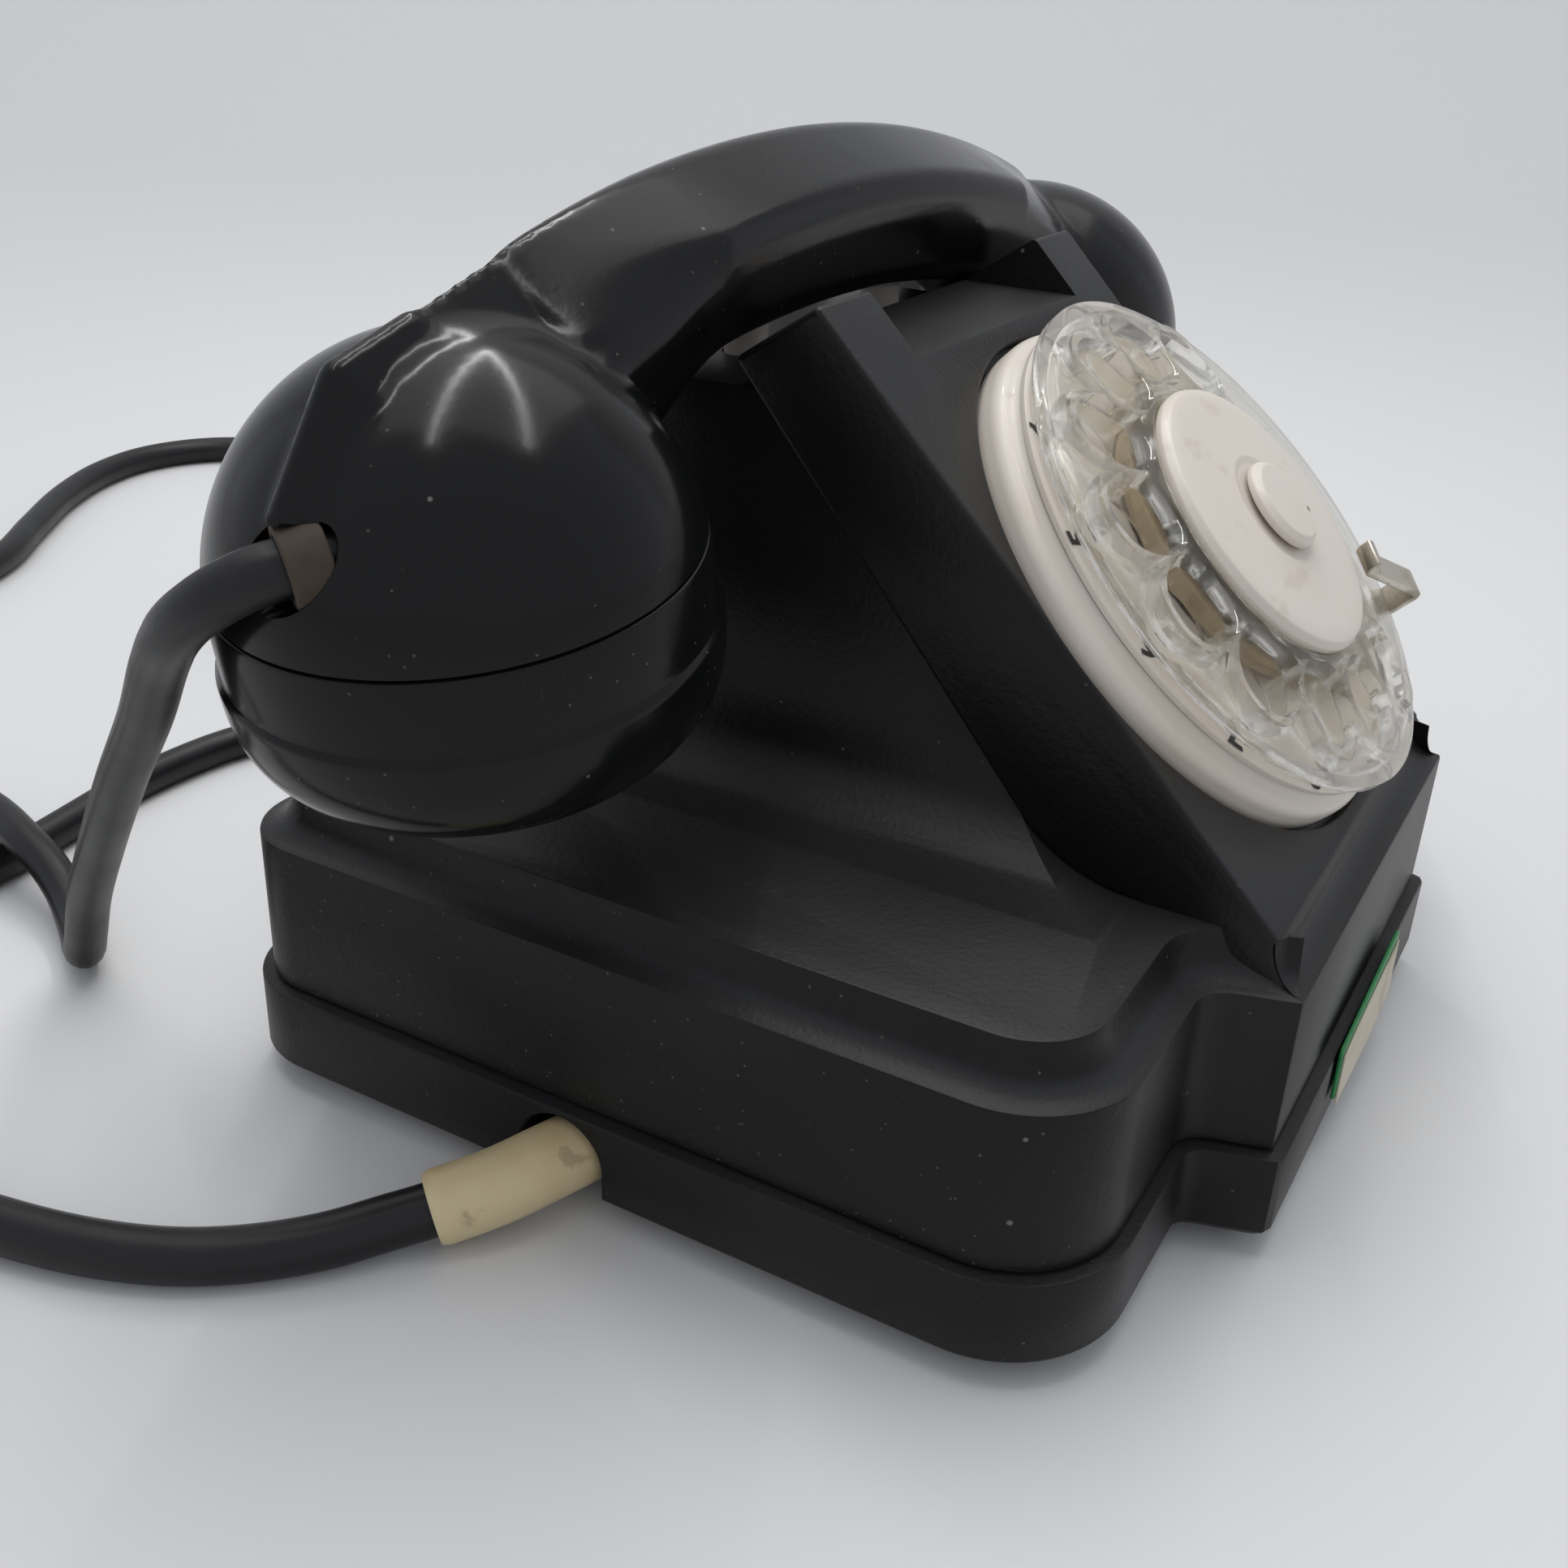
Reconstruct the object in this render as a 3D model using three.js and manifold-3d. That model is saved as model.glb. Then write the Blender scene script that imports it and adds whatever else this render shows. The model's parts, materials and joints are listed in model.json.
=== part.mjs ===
// Desk telephone with a rotary dial, in a black moulded case, about 1950.
// Millimetres. +X is the user's right, -Y faces the user, +Z is up, z = 0 is the table.
import * as THREE from 'three';
import { mergeVertices } from 'three/addons/utils/BufferGeometryUtils.js';
import Module from 'manifold-3d';

const wasm = await Module();
wasm.setup();

// ---------------------------------------------------------------- driving dimensions
const gap = 0.3; // between touching pieces
const wall = 3.5; // moulded case wall

const base = {
  halfWidth: 81.2, back: 68, lobeFront: 57, pedestalFront: 68, pedestalHalf: 41.8,
  frontRadius: 15, backRadius: 11, notchRadius: 5, notchOut: 6.9, notchTurn: 17.6,
};
const seamHeight = 15.8; // where the case stands on the tray
const ledgeHeight = 38; // top edge of the upright wall
const deckHeight = 44.2; // deck above the cove that runs round the wall
const coveWidth = 4.8;

const tray = { proud: 1.7, bottom: 2, floor: 3.5, wall: 3.2, chamfer: 2.2 };
const foot = { radius: 7, x: 60, front: -36, back: 50 };
const screw = { shaft: 1.7, head: 3.4, headHeight: 1.4, length: 20, x: 64, y: 20, post: 5 };

const panel = { slope: 44.64, halfWidth: 40.4, foot: 63.5, length: 93.5 };
const slabBack = { slope: 49.2, y: 14.5, z: 102.1, sweep: 22 };
const tower = { halfWidth: 37.5, flare: 15, saddle: 98, back: 50, hornTop: 108, hornFoot: 41.5 };
const horn = { inner: 27, ledge: 102.5 };

const train = { teeth: 36, pinionTeeth: 9, pitch: 16, wheelTeeth: 30, wheelPitch: 9, angle: 200 };
const idlerReach = train.pitch * (1 + train.pinionTeeth / train.teeth);

const dial = {
  up: 41, rim: 38.4, recess: 39.2, recessDepth: 2, caseDepth: 20,
  caseRadius: idlerReach + train.wheelPitch + 3.5, // takes in the idler's larger wheel
  wheelRadius: 38, wheelLow: 7.2, wheelEdge: 9.8, wheelHigh: 13, hubRadius: 21.5,
  holes: 10, holeRadius: 5.7, holeCircle: 28.3, firstHole: 55, holeStep: 26.2,
  capRadius: 20.3, capLow: 12.3, capHigh: 15.6, plugRadius: 6.5, shaft: 3.2, stopAngle: -34,
};

const handset = {
  y: 24.8, cupX: 80.5, cupZ: 83.1, cupTilt: 11, seam: 3.8, cupRadius: 28.2, bead: 29, mouth: 25, shell: 2.8,
  top: 125.8, topX: -7, backRadius: 255, depth: 21.5, waist: 13.5, grip: 8.8, reach: 67, straight: 36,
};
const hook = { x: 20, plunger: 3, bar: 66, barHeight: 3 };
const gong = { x: 30, y: 36, radius: 23.5, height: 13, z: 9, wall: 1.6, post: 3 };
const ringer = { coilX: 11.5, coilRadius: 8.5, coilBack: -2, coilFront: -28, z: 17, strike: 4.4 };

const lineCord = { diameter: 7, sleeveWall: 0.7, sleeveEase: 0.7, entryY: 11.4, entryZ: 8.2, slotEase: 1.4 };
const handCord = { diameter: 6.2, entryX: 22, entryZ: 7.9, slotEase: 1.5 };
const sleeveInner = lineCord.diameter / 2 + lineCord.sleeveEase;
const sleeveOuter = sleeveInner + lineCord.sleeveWall;
const card = { x: 1, z: 13.5, length: 34, height: 9, lean: 4 };
const coil = { x: 75, y: 166, turnRadius: 38.5, layers: 2, columns: 2 };
const plug = { x: 128, length: 34, width: 26, height: 15, pin: 14, pinSpread: 6.5 };

// ---------------------------------------------------------------- materials
const finish = (color, roughness, metalness = 0) =>
  new THREE.MeshStandardMaterial({ color, roughness, metalness });
const bakelite = finish(0x121212, 0.35);
const ivory = finish(0xe9e2d4, 0.4);
const clear = finish(0xf2f1ea, 0.1);
const nickel = finish(0xb9b3a4, 0.3, 1);
const brass = finish(0xb08d4a, 0.35, 1);
const steel = finish(0x8d9093, 0.4, 1);
const copper = finish(0x8a4b2d, 0.45, 0.6);
const rubber = finish(0x17181a, 0.6);
const cream = finish(0xc9b07a, 0.45);
const paper = finish(0xcfc6b4, 0.9);
const green = finish(0x1f7a3a, 0.5);

const phone = new THREE.Group();

function add(name, geometry, material, parent = phone) {
  const mesh = new THREE.Mesh(geometry, material);
  mesh.name = name;
  parent.add(mesh);
  return mesh;
}

// ---------------------------------------------------------------- solids
const radians = THREE.MathUtils.degToRad;
const point = (x, y) => new THREE.Vector2(x, y);

function solid(geometry, placement) {
  const bare = geometry.index ? geometry.toNonIndexed() : geometry.clone();
  bare.deleteAttribute('normal');
  bare.deleteAttribute('uv');
  if (placement) bare.applyMatrix4(placement);
  const merged = mergeVertices(bare, 1e-4);
  const vertProperties = merged.attributes.position.array;
  const triVerts = new Uint32Array(merged.index.array);
  return new wasm.Manifold(new wasm.Mesh({ numProp: 3, vertProperties, triVerts }));
}

function geometryOf(body) {
  const mesh = body.getMesh();
  return new THREE.BufferGeometry()
    .setAttribute('position', new THREE.BufferAttribute(mesh.vertProperties, 3))
    .setIndex(new THREE.BufferAttribute(mesh.triVerts, 1));
}

const moved = (x, y, z) => new THREE.Matrix4().makeTranslation(x, y, z);

function arc(x, y, radius, from, to, steps) {
  const points = [];
  for (let i = 0; i <= steps; i++) {
    const angle = radians(from + ((to - from) * i) / steps);
    points.push(point(x + radius * Math.cos(angle), y + radius * Math.sin(angle)));
  }
  return points;
}

// Moves each side of a closed outline outwards by a distance, with mitred corners.
function offset(outline, distance) {
  const count = outline.length;
  return outline.map((here, i) => {
    const before = here.clone().sub(outline[(i + count - 1) % count]).normalize();
    const after = outline[(i + 1) % count].clone().sub(here).normalize();
    const a = point(before.y, -before.x);
    const b = point(after.y, -after.x);
    return a.clone().add(b).multiplyScalar(distance / (1 + a.dot(b))).add(here);
  });
}

// A closed skin through outlines of one point count, each set in space by its own function.
function loft(outlines, places) {
  const count = outlines[0].length;
  const vertices = outlines.flatMap((outline, i) => outline.map(places[i]));
  const faces = [];
  for (let i = 0; i + 1 < outlines.length; i++) {
    for (let j = 0; j < count; j++) {
      const a = i * count + j;
      const b = i * count + ((j + 1) % count);
      faces.push(a, b, b + count, a, b + count, a + count);
    }
  }
  const last = (outlines.length - 1) * count;
  THREE.ShapeUtils.triangulateShape(outlines[0], []).forEach(([a, b, c]) => faces.push(c, b, a));
  THREE.ShapeUtils.triangulateShape(outlines.at(-1), []).forEach(([a, b, c]) =>
    faces.push(last + a, last + b, last + c));
  const geometry = new THREE.BufferGeometry();
  geometry.setFromPoints(vertices);
  geometry.setIndex(faces);
  return geometry;
}

// Level rings of one outline: [height, outward offset] pairs, lowest first.
const stack = (outline, levels) => loft(
  levels.map(([, out]) => offset(outline, out)),
  levels.map(([z]) => (p) => new THREE.Vector3(p.x, p.y, z)),
);

// A (y, z) outline carried along X, the same width each side of the middle.
const acrossX = (outline, half) => loft([outline, outline], [
  (p) => new THREE.Vector3(-half, p.x, p.y),
  (p) => new THREE.Vector3(half, p.x, p.y),
]);

const box = (x0, x1, y0, y1, z0, z1) => new THREE.BoxGeometry(x1 - x0, y1 - y0, z1 - z0)
  .translate((x0 + x1) / 2, (y0 + y1) / 2, (z0 + z1) / 2);

// A turned piece about +Z, from (radius, height) pairs listed outwards and upwards.
function turned(pairs, segments = 32) {
  const profile = pairs.map(([r, z]) => point(r, z));
  return new THREE.LatheGeometry(profile, segments).rotateX(Math.PI / 2);
}

const disc = (radius, low, high, segments = 32) =>
  turned([[0, low], [radius, low], [radius, high], [0, high]], segments);

const washer = (inner, outer, low, high, segments = 32) => turned(
  [[inner, low], [outer, low], [outer, high], [inner, high], [inner, low]], segments);

function toothed(teeth, pitch, bore, low, high) {
  const shape = new THREE.Shape();
  const step = (2 * Math.PI) / teeth;
  const corners = [[-0.27, -0.9], [-0.14, 0.6], [0.14, 0.6], [0.27, -0.9]];
  for (let i = 0; i < teeth; i++) {
    corners.forEach(([turn, rise], k) => {
      const angle = (i + turn) * step;
      const at = [(pitch + rise) * Math.cos(angle), (pitch + rise) * Math.sin(angle)];
      if (i + k === 0) shape.moveTo(...at);
      else shape.lineTo(...at);
    });
  }
  shape.closePath();
  shape.holes.push(new THREE.Path().absarc(0, 0, bore, 0, 2 * Math.PI, true));
  return new THREE.ExtrudeGeometry(shape, { depth: high - low, bevelEnabled: false, curveSegments: 6 })
    .translate(0, 0, low);
}

// ---------------------------------------------------------------- case
function baseOutline() {
  const turn = radians(base.notchTurn);
  const notchX = base.pedestalHalf + base.notchOut;
  const notchY = -base.lobeFront - base.notchRadius;
  const x = base.halfWidth - base.frontRadius;
  const right = [
    point(base.pedestalHalf, -base.pedestalFront),
    ...arc(notchX, notchY, base.notchRadius, 180 - base.notchTurn, 90, 5),
    ...arc(x, base.frontRadius - base.lobeFront, base.frontRadius, -90, 0, 8),
    ...arc(base.halfWidth - base.backRadius, base.back - base.backRadius, base.backRadius, 0, 90, 6),
  ];
  const left = right.map((p) => point(-p.x, p.y)).reverse();
  return [...right, ...left];
}
const outline = baseOutline();

const panelUp = point(Math.cos(radians(panel.slope)), Math.sin(radians(panel.slope)));
const panelPoint = (up, out = 0) => point(
  -panel.foot + panelUp.x * up - panelUp.y * out,
  deckHeight + panelUp.y * up + panelUp.x * out,
);

// The inclined back of the dial slab, swept into the deck in front and met by the tower.
function slabSweep() {
  const rise = Math.tan(radians(slabBack.slope));
  const footY = slabBack.y - (slabBack.z - deckHeight) / rise;
  const reach = slabBack.sweep * Math.tan(radians(slabBack.slope / 2));
  return arc(footY - reach, deckHeight + slabBack.sweep, slabBack.sweep, -90, slabBack.slope - 90, 6);
}

function towerOutline() {
  const flareTop = deckHeight + 9;
  const rise = Math.tan(radians(slabBack.slope));
  const frontTop = slabBack.y - (slabBack.z - tower.saddle) / rise;
  return [
    point(slabSweep()[0].x, deckHeight - wall + 1),
    point(tower.back + 12, deckHeight - wall + 1),
    point(tower.back + 12, deckHeight),
    ...arc(tower.back + 12, flareTop, 9, -90, -172, 5).slice(1),
    point(tower.back, tower.hornTop),
    point(tower.back - 5.5, tower.hornTop),
    point(tower.hornFoot, tower.saddle),
    point(frontTop, tower.saddle),
    ...slabSweep().reverse(),
  ];
}

function flareOutline() {
  const side = [
    point(tower.halfWidth + tower.flare, deckHeight - wall + 1),
    ...arc(tower.halfWidth + tower.flare, deckHeight + tower.flare, tower.flare, 270, 180, 6),
    point(tower.halfWidth, tower.hornTop + 1),
  ];
  return [...side, ...side.map((p) => point(-p.x, p.y)).reverse()];
}

function slabOutline() {
  const sweep = slabSweep();
  return [
    point(-panel.foot, deckHeight - wall + 1),
    point(sweep[0].x, deckHeight - wall + 1),
    ...sweep,
    point(slabBack.y, slabBack.z),
    panelPoint(panel.length),
    panelPoint(0),
  ];
}

const dialPlace = new THREE.Matrix4()
  .makeRotationX(radians(panel.slope))
  .setPosition(0, panelPoint(dial.up).x, panelPoint(dial.up).y);

function housing() {
  const cove = [0, 22.5, 45, 67.5, 90].map((angle) => [
    ledgeHeight + (deckHeight - ledgeHeight) * (1 - Math.cos(radians(angle))),
    -coveWidth * Math.sin(radians(angle)),
  ]);
  const flare = flareOutline();
  const spread = loft([flare, flare], [
    (p) => new THREE.Vector3(p.x, tower.back + 12, p.y),
    (p) => new THREE.Vector3(p.x, -panel.foot, p.y),
  ]);
  let body = solid(stack(outline, [[seamHeight + gap / 2, 0], ...cove]));
  body = body.add(solid(acrossX(towerOutline(), tower.halfWidth + tower.flare)).intersect(solid(spread)));
  body = body.add(solid(acrossX(slabOutline(), panel.halfWidth)));
  const notch = box(-horn.inner, horn.inner, -panel.foot, tower.hornFoot - 5, horn.ledge, tower.hornTop + 9);
  const rearNotch = box(-horn.inner, horn.inner, tower.hornFoot - 6, tower.back + 9, horn.ledge, tower.hornTop + 9);
  body = body.subtract(solid(notch)).subtract(solid(rearNotch));

  const inside = [
    point(-panel.foot + wall * 1.6, seamHeight),
    point(tower.back - wall, seamHeight),
    point(tower.back - wall, tower.saddle - wall),
    panelPoint(78, -wall),
    panelPoint(2, -wall),
  ];
  body = body.subtract(solid(stack(outline, [
    [seamHeight - 1, -wall], [ledgeHeight - 3, -wall], [deckHeight - wall, -coveWidth - wall]])));
  body = body.subtract(solid(acrossX(inside, tower.halfWidth - wall)));
  const deep = 60;
  body = body.subtract(solid(disc(dial.caseRadius + 1, -wall - 3, 5, 36), dialPlace));
  body = body.subtract(solid(disc(dial.recess, -dial.recessDepth, deep, 44), dialPlace));
  for (const side of [-1, 1]) {
    const x = side * screw.x;
    const post = disc(screw.post, tray.bottom + tray.floor + gap, deckHeight - 1, 20);
    body = body.add(solid(post, moved(x, screw.y, 0)));
    const bore = disc(screw.shaft + gap, 0, screw.length + tray.bottom + 2, 16);
    body = body.subtract(solid(bore, moved(x, screw.y, 0)));
    const guide = disc(hook.plunger + gap, tower.saddle - wall - 1, horn.ledge + 5, 24);
    body = body.subtract(solid(guide, moved(side * hook.x, handset.y, 0)));
  }
  return geometryOf(body);
}
add('housing', housing(), bakelite);

function baseTray() {
  const top = seamHeight - gap / 2;
  const { proud, bottom, chamfer, floor } = tray;
  let body = solid(stack(outline, [[bottom, proud - chamfer], [bottom + chamfer, proud], [top, proud]]));
  const inner = proud - tray.wall;
  body = body.subtract(solid(stack(outline, [[bottom + floor, inner], [top + 1, inner]])));
  const slotSide = (radius, z) => solid(disc(radius, -8, 8, 24).rotateY(Math.PI / 2).translate(0, 0, z))
    .add(solid(box(-8, 8, -radius, radius, 0, z)));
  const lineSlot = slotSide(sleeveOuter + lineCord.slotEase, lineCord.entryZ).translate([-base.halfWidth, lineCord.entryY, 0]);
  const handSlot = slotSide(handCord.diameter / 2 + handCord.slotEase, handCord.entryZ).rotate([0, 0, 90])
    .translate([handCord.entryX, base.back, 0]);
  body = body.subtract(lineSlot).subtract(handSlot);
  for (const side of [-1, 1]) {
    const hole = solid(disc(screw.shaft + gap, 0, 9, 20)).add(solid(disc(screw.head + gap, 0, bottom + 2, 20)));
    body = body.subtract(hole.translate([side * screw.x, screw.y, 0]));
  }
  return geometryOf(body);
}
add('base_tray', baseTray(), bakelite);

for (const [name, side] of [['left', -1], ['right', 1]]) {
  const footShape = turned([[0, 0], [foot.radius - 1, 0], [foot.radius, 0.8],
    [foot.radius, tray.bottom - gap], [0, tray.bottom - gap]], 16);
  add(`foot_front_${name}`, footShape, rubber).position.set(side * foot.x, foot.front, 0);
  add(`foot_rear_${name}`, footShape.clone(), rubber).position.set(side * foot.x, foot.back, 0);
  const low = tray.bottom + 0.4;
  const neck = low + screw.headHeight;
  add(`case_screw_${name}`, turned([[0, low], [screw.head, low], [screw.head, neck], [screw.shaft, neck],
    [screw.shaft, low + screw.length], [0, low + screw.length]], 16), brass)
    .position.set(side * screw.x, screw.y, 0);
}

// ---------------------------------------------------------------- dial
const dialGroup = new THREE.Group();
dialGroup.applyMatrix4(dialPlace);
phone.add(dialGroup);

const caseFloor = -dial.recessDepth + gap;
add('dial_case', turned([
  [8, 3], [dial.caseRadius - 2, 3], [dial.caseRadius - 2, -dial.caseDepth], [dial.caseRadius, -dial.caseDepth],
  [dial.caseRadius, caseFloor], [dial.rim, caseFloor], [dial.rim, 3], [dial.rim - 0.9, 3.9],
  [dial.rim - 1.2, 4.4], [8, 4.4], [8, 3]], 40), ivory, dialGroup);
add('number_ring', washer(dial.hubRadius - 1, dial.rim - 1.8, 4.7, 6, 40), ivory, dialGroup);

function fingerWheel() {
  let wheel = solid(turned([
    [dial.shaft + gap, dial.wheelLow], [dial.wheelRadius - 1, dial.wheelLow],
    [dial.wheelRadius, dial.wheelLow + 1], [dial.wheelRadius, dial.wheelEdge],
    [dial.holeCircle + 4, dial.wheelEdge + 1.9], [dial.hubRadius + 1, dial.wheelHigh],
    [dial.hubRadius - 0.8, dial.wheelHigh], [dial.hubRadius - 0.8, dial.capLow - gap],
    [dial.shaft + gap, dial.capLow - gap], [dial.shaft + gap, dial.wheelLow]], 40));
  for (let i = 0; i < dial.holes; i++) {
    const angle = radians(dial.firstHole + i * dial.holeStep);
    const hole = disc(dial.holeRadius, 0, 20, 14);
    const at = moved(dial.holeCircle * Math.cos(angle), dial.holeCircle * Math.sin(angle), 0);
    wheel = wheel.subtract(solid(hole, at));
  }
  return geometryOf(wheel);
}
add('finger_wheel', fingerWheel(), clear, dialGroup);

const plugStem = dial.shaft - 0.6;
add('wheel_cap', turned([
  [plugStem + gap, dial.capLow], [dial.capRadius, dial.capLow], [dial.capRadius, dial.capHigh - 1.4],
  [dial.capRadius - 1.6, dial.capHigh - 0.6], [dial.plugRadius + 2, dial.capHigh], [plugStem + gap, dial.capHigh],
  [plugStem + gap, dial.capLow]], 32), ivory, dialGroup);
add('centre_plug', turned([
  [0, dial.capLow + gap], [plugStem, dial.capLow + gap], [plugStem, dial.capHigh + gap],
  [dial.plugRadius, dial.capHigh + gap], [dial.plugRadius - 0.3, dial.capHigh + 1.6],
  [dial.plugRadius - 1.6, dial.capHigh + 2.1], [0, dial.capHigh + 2.2]], 18), ivory, dialGroup);
add('dial_shaft', disc(dial.shaft, -dial.caseDepth - 1.5, dial.capLow - gap / 2, 24), steel, dialGroup);
add('dial_plate', geometryOf(
  solid(washer(dial.shaft + gap, dial.caseRadius - 2 - gap, -dial.caseDepth + 1, -dial.caseDepth + 2.6, 28))
    .subtract(solid(disc(1.5 + gap, -dial.caseDepth, -dial.caseDepth + 4, 16), idlePlace()))), steel, dialGroup);
add('main_gear', toothed(train.teeth, train.pitch, dial.shaft + gap, -9, -7), brass, dialGroup);
add('spring_drum', washer(dial.shaft + gap, 11, -5.5, 0.5, 20), steel, dialGroup);

// The idler turns four times as fast as the wheel; its centre is one mesh away.
function idlePlace() {
  return moved(idlerReach * Math.cos(radians(train.angle)), idlerReach * Math.sin(radians(train.angle)), 0);
}
function idlePinion() {
  const pitch = (train.pitch * train.pinionTeeth) / train.teeth;
  const arbor = solid(disc(1.5, -dial.caseDepth - 0.5, -2, 16));
  const wheel = solid(toothed(train.wheelTeeth, train.wheelPitch, 1, -14.2, -12.2));
  const pinion = solid(toothed(train.pinionTeeth, pitch, 1, -9.4, -6.6));
  return geometryOf(arbor.add(wheel).add(pinion));
}
const idler = new THREE.Group();
idler.applyMatrix4(idlePlace());
dialGroup.add(idler);
add('idle_pinion', idlePinion(), brass, idler);

function pulseCam() {
  const lobe = new THREE.Shape(arc(0, 0, 4.2, 35, 145, 6).concat(arc(0, 0, 2.9, 150, 210, 3))
    .concat(arc(0, 0, 4.2, 215, 325, 6)).concat(arc(0, 0, 2.9, 330, 390, 3)));
  lobe.holes.push(new THREE.Path().absarc(0, 0, 1.5 + gap, 0, 2 * Math.PI, true));
  return new THREE.ExtrudeGeometry(lobe, { depth: 1.4, bevelEnabled: false, curveSegments: 8 })
    .translate(0, 0, -16.8);
}
add('pulse_cam', pulseCam(), brass, idler);

// The governor's arbor lies in the plane of the dial, beside the idler's larger wheel.
const worm = [[0, -7], [1.2, -7], [1.2, -5]];
for (let z = -5; z < 4.5; z += 1.5) worm.push([1.9, z + 0.4], [1.9, z + 0.8], [1.3, z + 1.3]);
worm.push([1.2, 6], [1.2, 8], [3.2, 8], [3.2, 12.5], [1.2, 12.5], [1.2, 15], [0, 15]);
const governorGroup = new THREE.Group();
const governorReach = idlerReach - train.wheelPitch - 2.8;
governorGroup.position.set(
  governorReach * Math.cos(radians(train.angle)), governorReach * Math.sin(radians(train.angle)), -13.2);
governorGroup.setRotationFromMatrix(new THREE.Matrix4()
  .makeRotationZ(radians(train.angle)).multiply(new THREE.Matrix4().makeRotationX(Math.PI / 2)));
dialGroup.add(governorGroup);
add('governor', turned(worm, 10), steel, governorGroup);

const contactTurn = radians(train.angle);
const contacts = new THREE.Group();
contacts.applyMatrix4(new THREE.Matrix4().makeRotationZ(contactTurn));
dialGroup.add(contacts);
add('pulse_contacts', geometryOf(solid(box(idlerReach + 4.6, idlerReach + 5.1, -12, 6, -16.6, -14.9))
  .add(solid(box(idlerReach + 4.2, idlerReach + 6.8, -13, -8, -17, -14.6)))), copper, contacts);

// The stop is one bent strip: it stands up beside the wheel and hooks over its holes.
function fingerStop() {
  const outer = dial.wheelRadius + 1.2;
  const strip = box(outer, outer + 1.3, -3, 3, caseFloor + 6.5, dial.wheelEdge + 4.4);
  const finger = box(dial.holeCircle - 4, outer + 1.3, -3, 3, dial.wheelEdge + 3.4, dial.wheelEdge + 4.7);
  const hookEnd = box(dial.holeCircle - 4, dial.holeCircle - 2.8, -3, 3, dial.wheelEdge + 3.6, dial.wheelEdge + 6.4);
  return geometryOf(solid(strip).add(solid(finger)).add(solid(hookEnd)));
}
const stopGroup = new THREE.Group();
stopGroup.rotation.z = radians(dial.stopAngle);
dialGroup.add(stopGroup);
add('finger_stop', fingerStop(), nickel, stopGroup);

// ---------------------------------------------------------------- hook switch
const hookGroup = new THREE.Group();
hookGroup.position.set(0, handset.y, 0);
phone.add(hookGroup);
const hookTop = hook.bar + hook.barHeight + gap;
for (const [name, side] of [['left', -1], ['right', 1]]) {
  const underside = handleTop(side * hook.x) - handset.depth - gap;
  add(`hook_plunger_${name}`, turned([[0, hookTop], [hook.plunger, hookTop], [hook.plunger, underside - 1],
    [hook.plunger - 1, underside], [0, underside]], 24), ivory, hookGroup).position.x = side * hook.x;
}
add('hook_bar', box(-hook.x - 5, hook.x + 5, -4, 4, hook.bar, hook.bar + hook.barHeight), steel, hookGroup);
add('hook_contacts', geometryOf(solid(box(-9, 9, 5, tower.back - wall - gap - handset.y, 44, 60))
  .add(solid(box(-1.5, 1.5, -5, 6, 55, 55.6))).add(solid(box(-1.5, 1.5, -5, 6, 51, 51.6)))),
copper, hookGroup);

// ---------------------------------------------------------------- ringer and works
const floorTop = tray.bottom + tray.floor + gap;
for (const [name, side] of [['left', -1], ['right', 1]]) {
  const { radius, height, z, post } = gong;
  const skin = gong.wall;
  const bell = new THREE.Group();
  bell.position.set(side * gong.x, gong.y, 0);
  phone.add(bell);
  add(`gong_${name}`, turned([[post + gap, z + height - skin], [radius - 6, z + height - skin],
    [radius - skin - 1.2, z + height - 5], [radius - skin, z], [radius, z], [radius - 1, z + height - 4],
    [radius - 5.4, z + height], [post + gap, z + height], [post + gap, z + height - skin]], 24), nickel, bell);
  const top = z + height + gap;
  add(`gong_post_${name}`, turned([[0, floorTop], [post + 2, floorTop], [post + 2, floorTop + 1.5],
    [post, floorTop + 1.5], [post, top], [post + 2.5, top], [post + 1.5, top + 2], [0, top + 2]], 14), brass, bell);
  const length = ringer.coilBack - ringer.coilFront;
  add(`ringer_coil_${name}`, turned([[0, 0], [6, 0], [6, 1.5], [ringer.coilRadius, 1.5],
    [ringer.coilRadius, length - 1.5], [6, length - 1.5], [6, length], [0, length]], 18)
    .rotateX(-Math.PI / 2), copper).position.set(side * ringer.coilX, ringer.coilFront, ringer.z);
}
add('ringer_frame', geometryOf(solid(box(-22, 22, ringer.coilFront - 3, ringer.coilFront - gap, floorTop, 28))
  .add(solid(box(-22, 22, ringer.coilFront - 3, ringer.coilBack + 8, floorTop, floorTop + 2)))
  .add(solid(box(-2.6, 2.6, ringer.coilBack + 3, ringer.coilBack + 8, floorTop, ringer.z - 4)))), steel);
const clapperY = ringer.coilBack + 5.5;
add('ringer_armature', box(-19, 19, clapperY - 1.6, clapperY + 1.6, ringer.z - 4 + gap, ringer.z + 4), steel);
const rodEnd = gong.y - 5;
add('clapper', geometryOf(
  solid(disc(0.9, 0, rodEnd - clapperY, 12), new THREE.Matrix4()
    .makeRotationX(-Math.PI / 2).setPosition(0, clapperY + 1.6 + gap, ringer.z - 2))
    .add(solid(new THREE.SphereGeometry(ringer.strike, 12, 8), moved(0, gong.y, ringer.z - 2)))), brass);

add('induction_coil', geometryOf(solid(box(38, 66, -26, 2, floorTop, floorTop + 16))
  .add(solid(box(42, 62, -31, 7, floorTop + 3, floorTop + 13)))), copper);
add('capacitor', box(32, 70, -48, -34, floorTop, floorTop + 22), nickel);
function terminalBlock() {
  let block = solid(box(-68, -40, -30, -14, floorTop, floorTop + 9));
  for (let i = 0; i < 4; i++) {
    block = block.add(solid(disc(2.4, floorTop + 8, floorTop + 11, 12), moved(-64 + i * 6.7, -22, 0)));
  }
  return geometryOf(block);
}
add('terminal_block', terminalBlock(), bakelite);

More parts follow.
